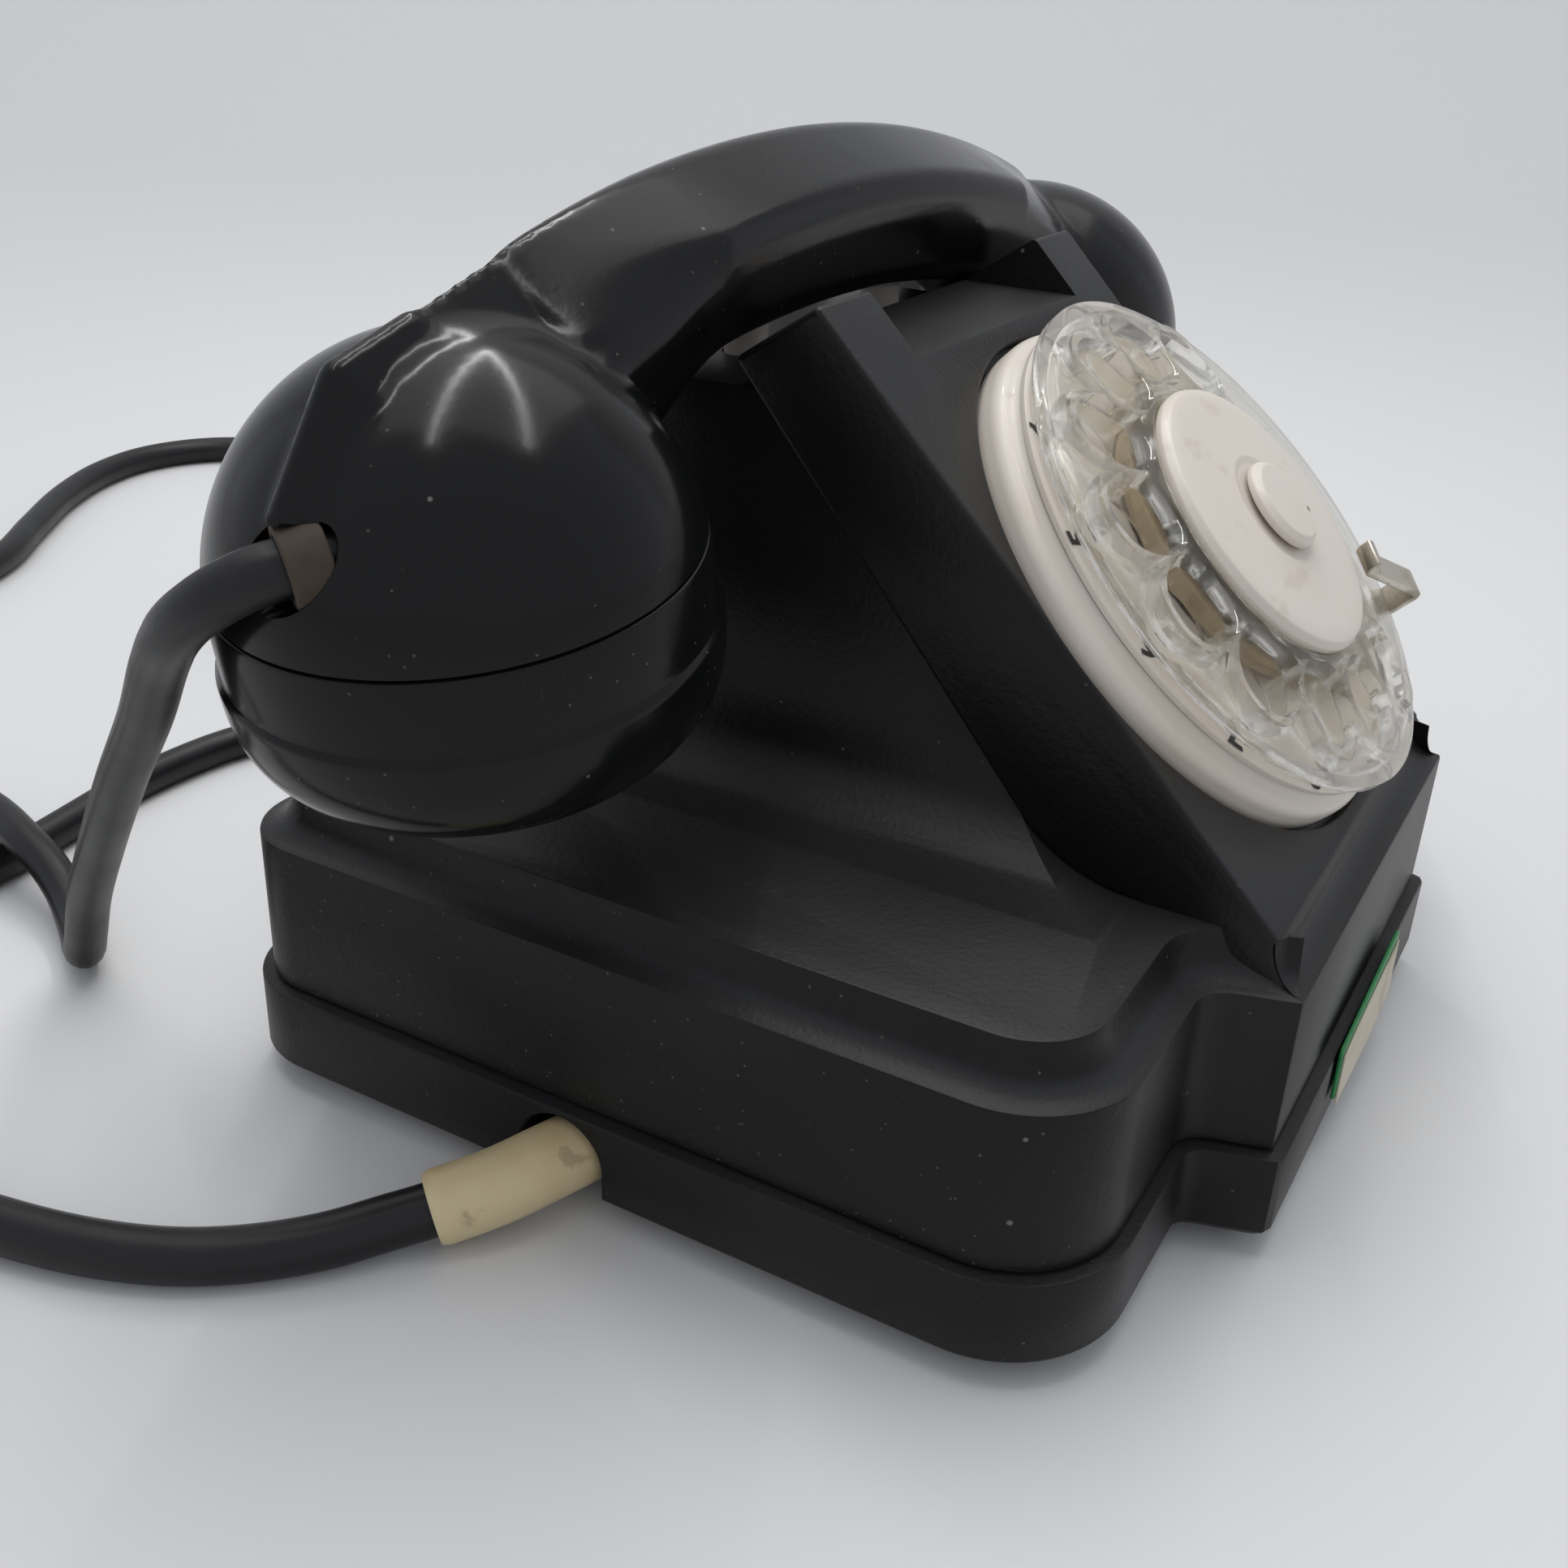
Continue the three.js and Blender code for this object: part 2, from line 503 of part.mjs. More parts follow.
// ---------------------------------------------------------------- handset
// The back of the grip is one wide arc, highest a little left of the middle.
function handleTop(x) {
  return handset.top - (x - handset.topX) ** 2 / (2 * handset.backRadius);
}

// A shallow roof carries the back on over both domes. On the left it narrows to a rib and
// turns down to the cord hole. Each station is [x, z, lean in degrees, width].
function crown() {
  const stations = [[27.9, 97.1, -55, 0.26], [24, 102.6, -55, 0.26], [21.1, 106.7, -52, 0.26],
    [18.8, 110.2, -36, 0.26], [15.8, 111.1, -20, 0.3], [11, 112.3, -15, 0.4]]
    .map(([out, ...rest]) => [-handset.cupX - out, ...rest]);
  const first = -handset.cupX - 3.5;
  const step = (2 * handset.cupX + 7) / 14;
  for (let x = first; x < -first + 1; x += step) {
    const lean = (Math.atan((x - handset.topX) / handset.backRadius) * 180) / Math.PI;
    const width = x < 20 - handset.cupX ? 1 - (20 - handset.cupX - x) / 40 : 1;
    stations.push([x, handleTop(x), lean, width]);
  }
  const section = [[-12, -9], [12, -9], [12, -5.4], [6, -2.2], [1.3, 0], [-1.3, 0], [-6, -2.2], [-12, -5.4]]
    .map(([y, z]) => point(y, z));
  return loft(stations.map(() => section), stations.map(([x, z, lean, width]) => (p) => {
    const across = Math.sign(p.x) * Math.max(1.3, Math.abs(p.x) * width);
    const out = p.y * Math.max(width, 0.55);
    const turn = radians(lean);
    return new THREE.Vector3(x + out * Math.sin(turn), handset.y + across, z + out * Math.cos(turn));
  }));
}

function grip() {
  const steps = 12;
  const outlines = [];
  const places = [];
  for (let i = 0; i <= steps; i++) {
    const x = -handset.reach + (2 * handset.reach * i) / steps;
    const spread = Math.max(0, Math.abs(x) - handset.straight) / (handset.reach - handset.straight);
    const low = -handset.depth - (x < 0 ? 13 : 8) * spread ** 2;
    const top = handleTop(x);
    const side = [[handset.grip, low], [11, low + 5], [handset.waist, -12], [12, -5.4], [6, -2.2], [1.3, 0]];
    outlines.push([...side, ...side.map(([y, z]) => [-y, z]).reverse()].map(([y, z]) => point(y, z)));
    places.push((p) => new THREE.Vector3(x, handset.y + p.x, top + p.y));
  }
  return loft(outlines, places);
}

const cupPlace = (side) => new THREE.Matrix4()
  .makeRotationY(radians(side * handset.cupTilt))
  .setPosition(side * handset.cupX, handset.y, handset.cupZ);

// (radius, height) pairs down a dome from its top to just above the seam.
function domeProfile(radius) {
  const lowest = (Math.asin(handset.seam / radius) * 180) / Math.PI;
  return arc(0, 0, radius, 90, lowest + 4, 6).slice(1).map((p) => [p.x, p.y]);
}

// The cord leaves the outer end of the left-hand dome, below the end of the rib.
const bushCentre = new THREE.Vector3(-handset.cupX - 26.2, handset.y, 91.6);
const bushAxis = new THREE.Vector3(-0.8, 0.56, -0.2).normalize();
const bushPlace = new THREE.Matrix4()
  .makeRotationFromQuaternion(new THREE.Quaternion().setFromUnitVectors(new THREE.Vector3(0, 0, 1), bushAxis))
  .setPosition(bushCentre);

function handsetBody() {
  const { seam, cupRadius, shell } = handset;
  let body = solid(grip()).add(solid(crown()));
  for (const side of [-1, 1]) {
    const rim = seam + gap / 2;
    const dome = turned([[0, rim], [cupRadius - 0.2, rim], ...domeProfile(cupRadius).reverse(), [0, cupRadius]], 28);
    body = body.add(solid(dome, cupPlace(side)));
  }
  for (const side of [-1, 1]) {
    const inner = cupRadius - shell;
    const hollow = turned([[0, seam - 9], [inner, seam - 9], [inner, seam + 1],
      ...domeProfile(inner).slice(1, 5).reverse(), [0, inner - 6]], 16);
    body = body.subtract(solid(hollow, cupPlace(side)));
  }
  const bore = disc(handCord.diameter / 2 + 1.7, -9, 9, 20);
  body = body.subtract(solid(bore, bushPlace));
  return geometryOf(body);
}

const handsetGroup = new THREE.Group();
phone.add(handsetGroup);
add('handset_body', handsetBody(), bakelite, handsetGroup);
add('cord_bush', washer(handCord.diameter / 2 + gap, handCord.diameter / 2 + 1.4, -3, 2, 20), rubber, handsetGroup)
  .applyMatrix4(bushPlace);
for (const [name, side] of [['transmitter', -1], ['receiver', 1]]) {
  const { seam, bead, mouth, shell, cupRadius } = handset;
  const top = seam - gap / 2;
  add(`${name}_cap`, turned([
    [0, -mouth], [9, -mouth + 0.7], [15, -mouth + 2], [20.2, -mouth + 4], [23.4, -mouth + 6], [26.5, -16],
    [28.1, -13], [28.8, -10], [bead, -6.7], [cupRadius, top], [cupRadius - shell, top], [bead - shell, -7],
    [25.3, -13], [22.6, -16.4], [18, -mouth + shell + 3], [0, -mouth + shell]], 26), bakelite, handsetGroup)
    .applyMatrix4(cupPlace(side));
  add(`${name}_capsule`, turned([[0, -18], [16, -18], [16, -13], [21, -13], [21, -2], [0, -2]], 18),
    nickel, handsetGroup).applyMatrix4(cupPlace(side));
}

// ---------------------------------------------------------------- number card
const cardFront = -base.pedestalFront - tray.proud - gap;
const cardPlace = new THREE.Matrix4().makeRotationY(radians(-card.lean)).setPosition(card.x, cardFront, card.z);
add('card_backing', box(-card.length / 2, card.length / 2, -0.6, 0, -card.height / 2, card.height / 2), green)
  .applyMatrix4(cardPlace);
add('number_card', box(-card.length / 2 + 1, card.length / 2 - 0.5, -1.4, -0.6 - gap,
  -card.height / 2 - 1, card.height / 2 - 1.5), paper).applyMatrix4(cardPlace);

// ---------------------------------------------------------------- cords
// Each cord is a plain tube through points chosen by hand, from the phone outwards.
function tube(route, diameter, steps, sides = 8) {
  const curve = new THREE.CatmullRomCurve3(route.map((p) => new THREE.Vector3(...p)), false, 'centripetal');
  const section = new THREE.Shape(arc(0, 0, diameter / 2, 0, 360 - 360 / sides, sides - 1));
  return new THREE.ExtrudeGeometry(section, { steps, bevelEnabled: false, extrudePath: curve });
}

const coilHalf = (coil.columns * lineCord.diameter) / 2;
const coilOuter = coil.turnRadius + coilHalf;
// The line cord leaves the left side, swings out behind the phone and comes back to its coil.
const lineRoute = [
  [-74, 8.6, 8.2], [-78, 10, 8.2], [-84, 12, 8.2], [-90.5, 15.6, 7], [-96.7, 20.9, 5.3], [-100.8, 24.4, 4.6],
  [-106.9, 29.2, 3.9], [-113.2, 35.6, 3.6], [-118.4, 42.8, 3.6], [-122.6, 52.3, 3.6], [-125.8, 64.5, 3.6],
  [-129.4, 88, 3.6], [-132.6, 113, 3.6], [-134.8, 140, 3.6], [-134, 168, 3.6], [-127, 196, 3.6],
  [-112, 220, 3.6], [-88, 238, 3.6], [-60, 247, 3.6], [-30, 251, 3.6], [0, 256, 3.6],
  [30.7, 266, 3.6], [51.6, 280.3, 3.6], [73.8, 295.1, 3.6], [95, 304.5, 3.6], [113, 306.5, 3.6],
  [129, 300, 3.6], [139, 287, 3.6], [142, 270, 3.6], [138, 251, 3.6], [128, 235, 3.6],
  [113, 223, 3.6], [96, 216.5, 3.6], [coil.x, coil.y + coilOuter + lineCord.diameter / 2 + gap, 3.6],
];
const tailY = coil.y - coilOuter - lineCord.diameter / 2 - gap;
const tailRoute = [[coil.x, tailY, 3.6], [coil.x + 12, tailY, 3.6], [coil.x + 24, tailY, 3.7],
  [plug.x - plug.length / 2 - gap, tailY, 4]];

// The handset cord hangs from the left-hand dome to the table, loops and goes in at the back.
const handRoute = [
  [-101.9, 21.4, 92.8], [-104.3, 23.1, 92.2], [-106.7, 24.8, 91.6], [-109.1, 26.5, 91], [-111.5, 29.7, 89.6],
  [-111.9, 35.4, 86], [-107.6, 43.3, 78.6], [-102.1, 54.4, 66.3], [-96.2, 68, 51.7], [-89.6, 82.7, 34.9],
  [-83.6, 95.4, 19.6], [-80.6, 101.6, 9.9],
  [-78.7, 105.4, 4.6], [-74.6, 111.6, 4.2], [-70.6, 119, 6], [-68.2, 126, 8.4], [-66.6, 133, 9.8],
  [-64.2, 141, 10.2], [-61.6, 150, 9.4], [-59.4, 160, 6.6], [-58.6, 172, 3.9], [-61.5, 186, 3.2],
  [-70, 198, 3.2], [-83, 204, 3.2], [-97, 201, 3.2], [-108, 191, 3.2], [-112.5, 177, 3.2],
  [-109.5, 162, 3.2], [-100, 149.5, 3.2], [-86, 142, 3.2], [-67.1, 140.4, 3.2], [-57.7, 141.7, 3.2],
  [-47.8, 143.3, 3.2], [-37.3, 145, 3.2], [-27.4, 145.5, 3.2], [-10.8, 143.6, 3.2], [5, 136, 3.2],
  [15.5, 124, 3.2], [20.6, 109, 3.2], [22, 94, 3.4], [22, 82, 5], [22, 73, 7.4], [22, 66, 7.9],
];

// The sleeve slips over the first part of the line cord.
const sleeve = solid(tube(lineRoute.slice(1, 5), 2 * sleeveOuter, 6, 10));
const sleeveBore = solid(tube(lineRoute.slice(0, 6), 2 * sleeveInner, 9, 10));
add('line_cord_sleeve', geometryOf(sleeve.subtract(sleeveBore)), cream);

add('line_cord', tube(lineRoute, lineCord.diameter, 50), rubber);
add('handset_cord', tube(handRoute, handCord.diameter, 54), rubber);

add('line_cord_coil', washer(coil.turnRadius - coilHalf, coilOuter, 0.1,
  coil.layers * lineCord.diameter, 32), rubber).position.set(coil.x, coil.y, 0);
add('line_cord_tail', tube(tailRoute, lineCord.diameter, 10), rubber);

function linePlug() {
  let body = solid(box(-plug.length / 2, plug.length / 2, -plug.width / 2, plug.width / 2, 0.1, plug.height));
  for (const side of [-1, 1]) {
    const pin = disc(2, 0, plug.pin, 16).rotateY(Math.PI / 2)
      .translate(plug.length / 2 - 0.5, side * plug.pinSpread, plug.height / 2);
    body = body.add(solid(pin));
  }
  return geometryOf(body);
}
add('line_plug', linePlug(), bakelite).position.set(plug.x, tailY, 0);

export default phone;
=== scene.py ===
import json
import math

import bmesh
import bpy
import numpy as np
from bpy.props import FloatProperty, FloatVectorProperty, PointerProperty
from mathutils import Matrix, Vector


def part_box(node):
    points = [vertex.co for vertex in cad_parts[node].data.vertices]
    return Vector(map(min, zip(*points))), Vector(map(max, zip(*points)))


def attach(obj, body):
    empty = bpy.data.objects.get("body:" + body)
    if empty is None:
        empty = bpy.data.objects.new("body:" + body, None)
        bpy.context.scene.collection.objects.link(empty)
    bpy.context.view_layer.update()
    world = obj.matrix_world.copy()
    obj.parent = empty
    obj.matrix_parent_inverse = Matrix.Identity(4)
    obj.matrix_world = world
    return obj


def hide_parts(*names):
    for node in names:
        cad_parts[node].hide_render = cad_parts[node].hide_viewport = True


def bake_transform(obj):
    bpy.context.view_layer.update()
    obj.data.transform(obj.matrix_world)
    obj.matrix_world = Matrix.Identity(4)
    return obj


bl_info = {
    "name": "Rotary telephone",
    "version": (1, 0, 0),
    "blender": (4, 5, 0),
    "location": "3D View > Sidebar > Telephone",
    "description": "Adds a desk telephone with a rotary dial, its handset, cords and a studio stage",
    "category": "Add Mesh",
}

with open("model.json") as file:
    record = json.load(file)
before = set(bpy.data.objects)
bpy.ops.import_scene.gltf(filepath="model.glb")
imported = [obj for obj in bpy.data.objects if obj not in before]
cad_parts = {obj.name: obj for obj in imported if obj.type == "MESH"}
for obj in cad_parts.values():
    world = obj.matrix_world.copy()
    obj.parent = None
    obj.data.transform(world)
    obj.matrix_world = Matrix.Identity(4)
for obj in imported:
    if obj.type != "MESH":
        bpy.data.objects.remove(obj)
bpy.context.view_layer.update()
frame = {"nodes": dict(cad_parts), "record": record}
MM = 0.001
AXIS = 1e-6  # a radius under this lies on the axis

# ------------------------------------------------------------------ sizes shared by the pieces, in mm
HALF_WIDTH, BACK, LOBE_FRONT, PEDESTAL_FRONT, PEDESTAL_HALF = 81.2, 68, 57, 68, 41.8
SEAM, LEDGE, DECK, COVE = 15.8, 38, 44.2, 4.8
PROUD, WALL = 1.7, 3.5
SLOPE = math.radians(44.64)
PANEL_FOOT, PANEL_HALF, PANEL_LENGTH = -63.5, 40.4, 93.5
SLAB_SLOPE = math.radians(49.2)
SLAB_TOP = (14.5, 102.1)
SWEEP = 22
TOWER_HALF, FLARE, SADDLE, TOWER_BACK, HORN_TOP, HORN_FOOT = 37.5, 15, 98, 50, 108, 41.5
DIAL_UP, RECESS = 41, 39.2
HOLE_CIRCLE, FIRST_HOLE, HOLE_STEP, HOLES = 28.3, 55, 26.2, 10
PLUG_PLACE = (128, 116.7, 7.5)
GRIP_Y, CUP_X, CUP_Z, CUP_TILT, CUP_RADIUS, CUP_SEAM = 24.8, 80.5, 83.1, math.radians(11), 28.2, 3.8
BACK_TOP, BACK_TOP_X, BACK_RADIUS, GRIP_DEPTH = 125.8, -7, 255, 21.5
BUSH = Vector((-106.7, 24.8, 91.6))
BUSH_AXIS = Vector((-0.8, 0.56, -0.2)).normalized()
COIL_X, COIL_Y = 75, 166
LINE_LIE, HAND_LIE = 3.6, 3.2  # heights of the cords' centre lines on the table
CAMERA_PLACE = (-0.22147, -0.09481, 0.14941)  # m
CAMERA_YAW, CAMERA_PITCH, CAMERA_ROLL = -1.0689321641, 0.46411814, 0.0458410847
FOCAL_LENGTH, SENSOR = 39.06, 36

DIAL_PLACE = Matrix.Translation(
    (0, PANEL_FOOT + DIAL_UP * math.cos(SLOPE), DECK + DIAL_UP * math.sin(SLOPE))
) @ Matrix.Rotation(SLOPE, 4, "X")
BUSH_PLACE = Matrix.Translation(BUSH) @ BUSH_AXIS.to_track_quat("Z", "Y").to_matrix().to_4x4()


def cup_place(side):
    return Matrix.Translation((side * CUP_X, GRIP_Y, CUP_Z)) @ Matrix.Rotation(side * CUP_TILT, 4, "Y")


# ------------------------------------------------------------------ shader maths
class Sock:
    """A node's output that takes part in Python expressions."""

    def __init__(self, shade, socket):
        self.shade, self.socket = shade, socket

    def _maths(self, operation, a, b=None):
        values = {0: a} if b is None else {0: a, 1: b}
        return self.shade.node("ShaderNodeMath", {"operation": operation}, values)

    def __add__(self, other):
        return self._maths("ADD", self, other)

    __radd__ = __add__

    def __sub__(self, other):
        return self._maths("SUBTRACT", self, other)

    def __rsub__(self, other):
        return self._maths("SUBTRACT", other, self)

    def __mul__(self, other):
        return self._maths("MULTIPLY", self, other)

    __rmul__ = __mul__

    def over(self, edge, soft):
        """0 below edge, 1 above edge + soft."""
        settings = {"interpolation_type": "SMOOTHSTEP"}
        return self.shade.node("ShaderNodeMapRange", settings, {0: self, 1: edge, 2: edge + soft})

    def under(self, edge, soft):
        return 1 - self.over(edge, soft)


class Shade:
    """Builds one material."""

    def __init__(self, name):
        self.material = bpy.data.materials.new(name)
        self.material.use_nodes = True
        self.tree = self.material.node_tree
        self.tree.nodes.clear()
        self.place = self.node("ShaderNodeTexCoord", out="Object")

    def node(self, kind, settings=None, inputs=None, out=0):
        made = self.tree.nodes.new(kind)
        for key, value in (settings or {}).items():
            if key == "stops":
                ramp = made.color_ramp.elements
                while len(ramp) < len(value):
                    ramp.new(0.5)
                for element, (position, colour) in zip(ramp, value):
                    element.position, element.color = position, colour
            else:
                setattr(made, key, value)
        for key, value in (inputs or {}).items():
            if isinstance(value, Sock):
                self.tree.links.new(value.socket, made.inputs[key])
            elif isinstance(value, (tuple, list)) and made.inputs[key].type == "RGBA":
                made.inputs[key].default_value = (*value[:3], 1)
            else:
                made.inputs[key].default_value = value
        return Sock(self, made.outputs[out])

    def stretched(self, scale, turn=(0, 0, 0)):
        return self.node("ShaderNodeMapping", None,
                         {"Vector": self.place, "Scale": scale, "Rotation": turn})

    def noise(self, scale, detail=3, vector=None):
        inputs = {"Vector": vector or self.place, "Scale": scale, "Detail": detail}
        return self.node("ShaderNodeTexNoise", None, inputs)

    def cells(self, scale, out="Distance"):
        return self.node("ShaderNodeTexVoronoi", None, {"Vector": self.place, "Scale": scale}, out)

    def blend(self, factor, a, b):
        return self.node("ShaderNodeMix", {"data_type": "RGBA"}, {0: factor, 6: a, 7: b}, 2)

    def bump(self, height, distance, strength=1.0, normal=None):
        inputs = {"Height": height, "Distance": distance, "Strength": strength}
        if normal:
            inputs["Normal"] = normal
        return self.node("ShaderNodeBump", None, inputs)

    def specks(self, scale, size, share):
        """Small round specks, in a share of the cells."""
        near = self.cells(scale).under(size * 0.6, size * 0.8)
        chosen = self.node("ShaderNodeSeparateColor", None, {0: self.cells(scale, "Color")})
        return near * chosen.under(share, 0.02)

    def scratches(self, scale, turn, share):
        """Fine lines that run one way and break up."""
        long = self.stretched((1, 26, 1), turn)
        line = self.noise(scale, 2, long).over(0.66, 0.015)
        return line * self.noise(scale * 0.12, 2).over(1 - share, 0.06)

    def finish(self, factor=None, other=None, **inputs):
        named = {key.replace("_", " "): value for key, value in inputs.items()}
        surface = self.node("ShaderNodeBsdfPrincipled", None, named)
        if other is not None:
            surface = self.node("ShaderNodeMixShader", None, {0: factor, 1: surface, 2: other})
        made = self.tree.nodes.new("ShaderNodeOutputMaterial")
        self.tree.links.new(surface.socket, made.inputs["Surface"])
        return self.material


# ------------------------------------------------------------------ finishes
def case_bakelite(colour, sheen):
    """Old moulded phenolic: satin, faintly dusty, grained on its flats, with upward faces lighter from
    settled dust and painted top light.
    """
    s = Shade("case_bakelite")
    cloud = s.noise(26, 4)
    film = s.noise(9, 3).over(0.46, 0.3)
    dust = s.specks(300, 0.1, 0.035) + s.specks(900, 0.16, 0.04) * 0.5
    lint = s.scratches(300, (0.4, 0.9, 0.3), 0.3)
    scuff = s.scratches(180, (1.1, 0.2, -0.7), 0.3)
    grey = tuple(c + 0.02 for c in colour)
    base = s.blend(film * 0.5 + cloud.over(0.5, 0.2) * 0.2, colour, grey)
    base = s.blend(dust * 0.45 + (lint + scuff) * 0.05, base, (0.3, 0.29, 0.27))
    # Upward faces are blended lighter and rougher: partly settled dust, partly painted light falling on the
    # tops.
    up = s.node("ShaderNodeSeparateXYZ", None, {0: s.node("ShaderNodeNewGeometry", out="Normal")}, 2)
    top_dust_and_light = up.over(0.5, 0.25) * (0.55 + s.noise(40, 4) * 0.5)
    base = s.blend(top_dust_and_light, base, (0.021, 0.0215, 0.022))
    rough = sheen + (cloud - 0.5) * 0.2 + film * 0.08 + dust * 0.3 + scuff * 0.08 + top_dust_and_light * 0.08
    normal = s.bump(s.noise(1300, 2), 0.00016, 0.4)
    normal = s.bump(s.noise(60, 2), 0.0005, 0.15, normal)
    return s.finish(Base_Color=base, Roughness=rough, Normal=normal, IOR=1.31)


def handled_bakelite(colour):
    """The same moulding polished by hands, with rubbed patches and fine hairlines."""
    s = Shade("handled_bakelite")
    rubbed = s.noise(30, 4)
    smear = s.noise(50, 3, s.stretched((1, 1, 0.35))).over(0.5, 0.25)
    dust = s.specks(380, 0.1, 0.025) + s.specks(1000, 0.16, 0.03) * 0.5
    hairs = s.scratches(320, (0.2, 0.5, 1.2), 0.35)
    base = s.blend(rubbed.over(0.56, 0.2) * 0.4, colour, (0.02, 0.018, 0.015))
    base = s.blend(dust * 0.4 + hairs * 0.05, base, (0.3, 0.29, 0.27))
    rough = 0.17 + (rubbed - 0.45) * 0.22 + smear * 0.06 + dust * 0.3 + hairs * 0.08
    normal = s.bump(s.noise(900, 2), 0.00005, 0.2)
    normal = s.bump(s.noise(40, 2), 0.0006, 0.14, normal)
    return s.finish(Base_Color=base, Roughness=rough, Normal=normal, IOR=1.3)


def aged_ivory(colour):
    s = Shade("aged_ivory")
    yellow = s.noise(40, 3).over(0.45, 0.3)
    grime = s.noise(160, 4).over(0.62, 0.12)
    base = s.blend(yellow * 0.35, colour, (colour[0] * 0.93, colour[1] * 0.86, colour[2] * 0.74))
    base = s.blend(grime * 0.2, base, (0.36, 0.28, 0.2))
    rough = 0.34 + s.noise(90, 3) * 0.12 + grime * 0.15
    return s.finish(Base_Color=base, Roughness=rough, Normal=s.bump(s.noise(500, 2), 0.00004, 0.3),
                    Subsurface_Weight=0.15, Subsurface_Radius=(1, 0.75, 0.45), Subsurface_Scale=0.0015,
                    Coat_Weight=0.1)


def clear_acrylic():
    """Clear moulding: part of the light passes straight on, so what lies beneath stays bright."""
    s = Shade("clear_acrylic")
    wear = s.scratches(300, (0.1, 0.7, 0.4), 0.45)
    rough = wear * 0.08
    straight = s.node("ShaderNodeBsdfTransparent", None, {0: (0.98, 0.97, 0.94)})
    normal = s.bump(s.noise(40, 2), 0.0004, 0.1)
    return s.finish(0.28, straight, Base_Color=(0.985, 0.975, 0.94), Transmission_Weight=1.0, IOR=1.49,
                    Roughness=rough, Normal=normal)


def plated_metal(name, colour, tarnish, rough=0.28):
    s = Shade(name)
    stain = s.noise(160, 4).over(0.48, 0.2)
    pits = s.specks(900, 0.2, 0.3)
    base = s.blend(stain * 0.5 + pits * 0.4, colour, tarnish)
    value = rough + stain * 0.2 + pits * 0.2 + s.noise(600, 2) * 0.08
    return s.finish(Base_Color=base, Roughness=value, Metallic=1 - stain * 0.25,
                    Normal=s.bump(s.noise(700, 2, s.stretched((1, 8, 1))), 0.00004, 0.4))


def cord_rubber(colour):
    s = Shade("cord_rubber")
    worn = s.noise(45, 4).over(0.5, 0.25)
    bloom = s.scratches(500, (0.3, 1.2, 0.2), 0.5)
    base = s.blend(worn * 0.3 + bloom * 0.2, colour, (0.03, 0.031, 0.033))
    rough = 0.3 + s.noise(60, 3) * 0.2 + bloom * 0.15
    normal = s.bump(s.noise(1400, 2), 0.00006, 0.35)
    return s.finish(Base_Color=base, Roughness=rough, Normal=s.bump(s.noise(80, 2), 0.0006, 0.3, normal),
                    IOR=1.4)


def cream_sleeve(colour):
    s = Shade("cream_sleeve")
    stain = s.noise(55, 4).over(0.45, 0.25)
    dirt = s.noise(240, 5).over(0.62, 0.1)
    base = s.blend(stain * 0.6, colour, (colour[0] * 0.82, colour[1] * 0.66, colour[2] * 0.45))
    base = s.blend(dirt * 0.4, base, (0.16, 0.11, 0.07))
    return s.finish(Base_Color=base, Roughness=0.36 + stain * 0.15 + dirt * 0.2,
                    Normal=s.bump(s.noise(120, 3), 0.0004, 0.3), Subsurface_Weight=0.15,
                    Subsurface_Radius=(1, 0.7, 0.4), Subsurface_Scale=0.002)


def card_paper(colour):
    s = Shade("card_paper")
    fibre = s.noise(900, 5)
    stain = s.noise(110, 3).over(0.5, 0.2)
    base = s.blend(stain * 0.5 + fibre * 0.2, colour, (colour[0] * 0.55, colour[1] * 0.5, colour[2] * 0.42))
    return s.finish(Base_Color=base, Roughness=0.75 + fibre * 0.15, Normal=s.bump(fibre, 0.0001, 0.4))


def painted(name, colour, rough):
    """Plain coloured plastic or enamel with a little unevenness."""
    s = Shade(name)
    mottle = s.noise(300, 4)
    dark = tuple(c * 0.55 for c in colour)
    base = s.blend(mottle.over(0.5, 0.2) * 0.5, colour, dark)
    return s.finish(Base_Color=base, Roughness=rough + (mottle - 0.5) * 0.2,
                    Normal=s.bump(mottle, 0.00008, 0.3))


def studio_paper(colour):
    s = Shade("studio_paper")
    tone = s.noise(3, 2)
    base = s.blend(tone * 0.2, colour, tuple(c * 0.96 for c in colour))
    return s.finish(Base_Color=base, Roughness=0.6 + tone * 0.1,
                    Normal=s.bump(s.noise(300, 2), 0.0001, 0.08))


# ------------------------------------------------------------------ mesh making
def add_mesh(name, points, faces, material=None, place=None, sharp=32):
    """A finished piece from points in mm, with its place in its mesh."""
    mesh = bpy.data.meshes.new(name)
    place = place or Matrix.Identity(4)
    mesh.from_pydata([tuple((place @ Vector(p)) * MM) for p in points], [],
                     [tuple(map(int, f)) for f in faces])
    return add_object(name, mesh, material, sharp)


def add_object(name, mesh, material=None, sharp=32):
    piece = linked(name, mesh)
    if material:
        dress(piece, material)
    smooth(piece, sharp)
    return piece


def linked(name, data):
    """A new object in the scene, of any kind."""
    made = bpy.data.objects.new(name, data)
    bpy.context.scene.collection.objects.link(made)
    return made


def dress(piece, material):
    piece.data.materials.clear()
    piece.data.materials.append(material)


def smooth(piece, sharp=32):
    mesh = piece.data
    mesh.polygons.foreach_set("use_smooth", [True] * len(mesh.polygons))
    mesh.set_sharp_from_angle(angle=math.radians(sharp))
    mesh.update()


def plain_mesh(piece):
    graph = bpy.context.evaluated_depsgraph_get()
    return bpy.data.meshes.new_from_object(piece.evaluated_get(graph))


def settle(piece, sharp=32):
    """Turns a piece's live modifiers into its plain mesh."""
    mesh = plain_mesh(piece)
    piece.modifiers.clear()
    piece.data = mesh
    smooth(piece, sharp)


def drop(piece):
    mesh = piece.data
    bpy.data.objects.remove(piece)
    bpy.data.meshes.remove(mesh)


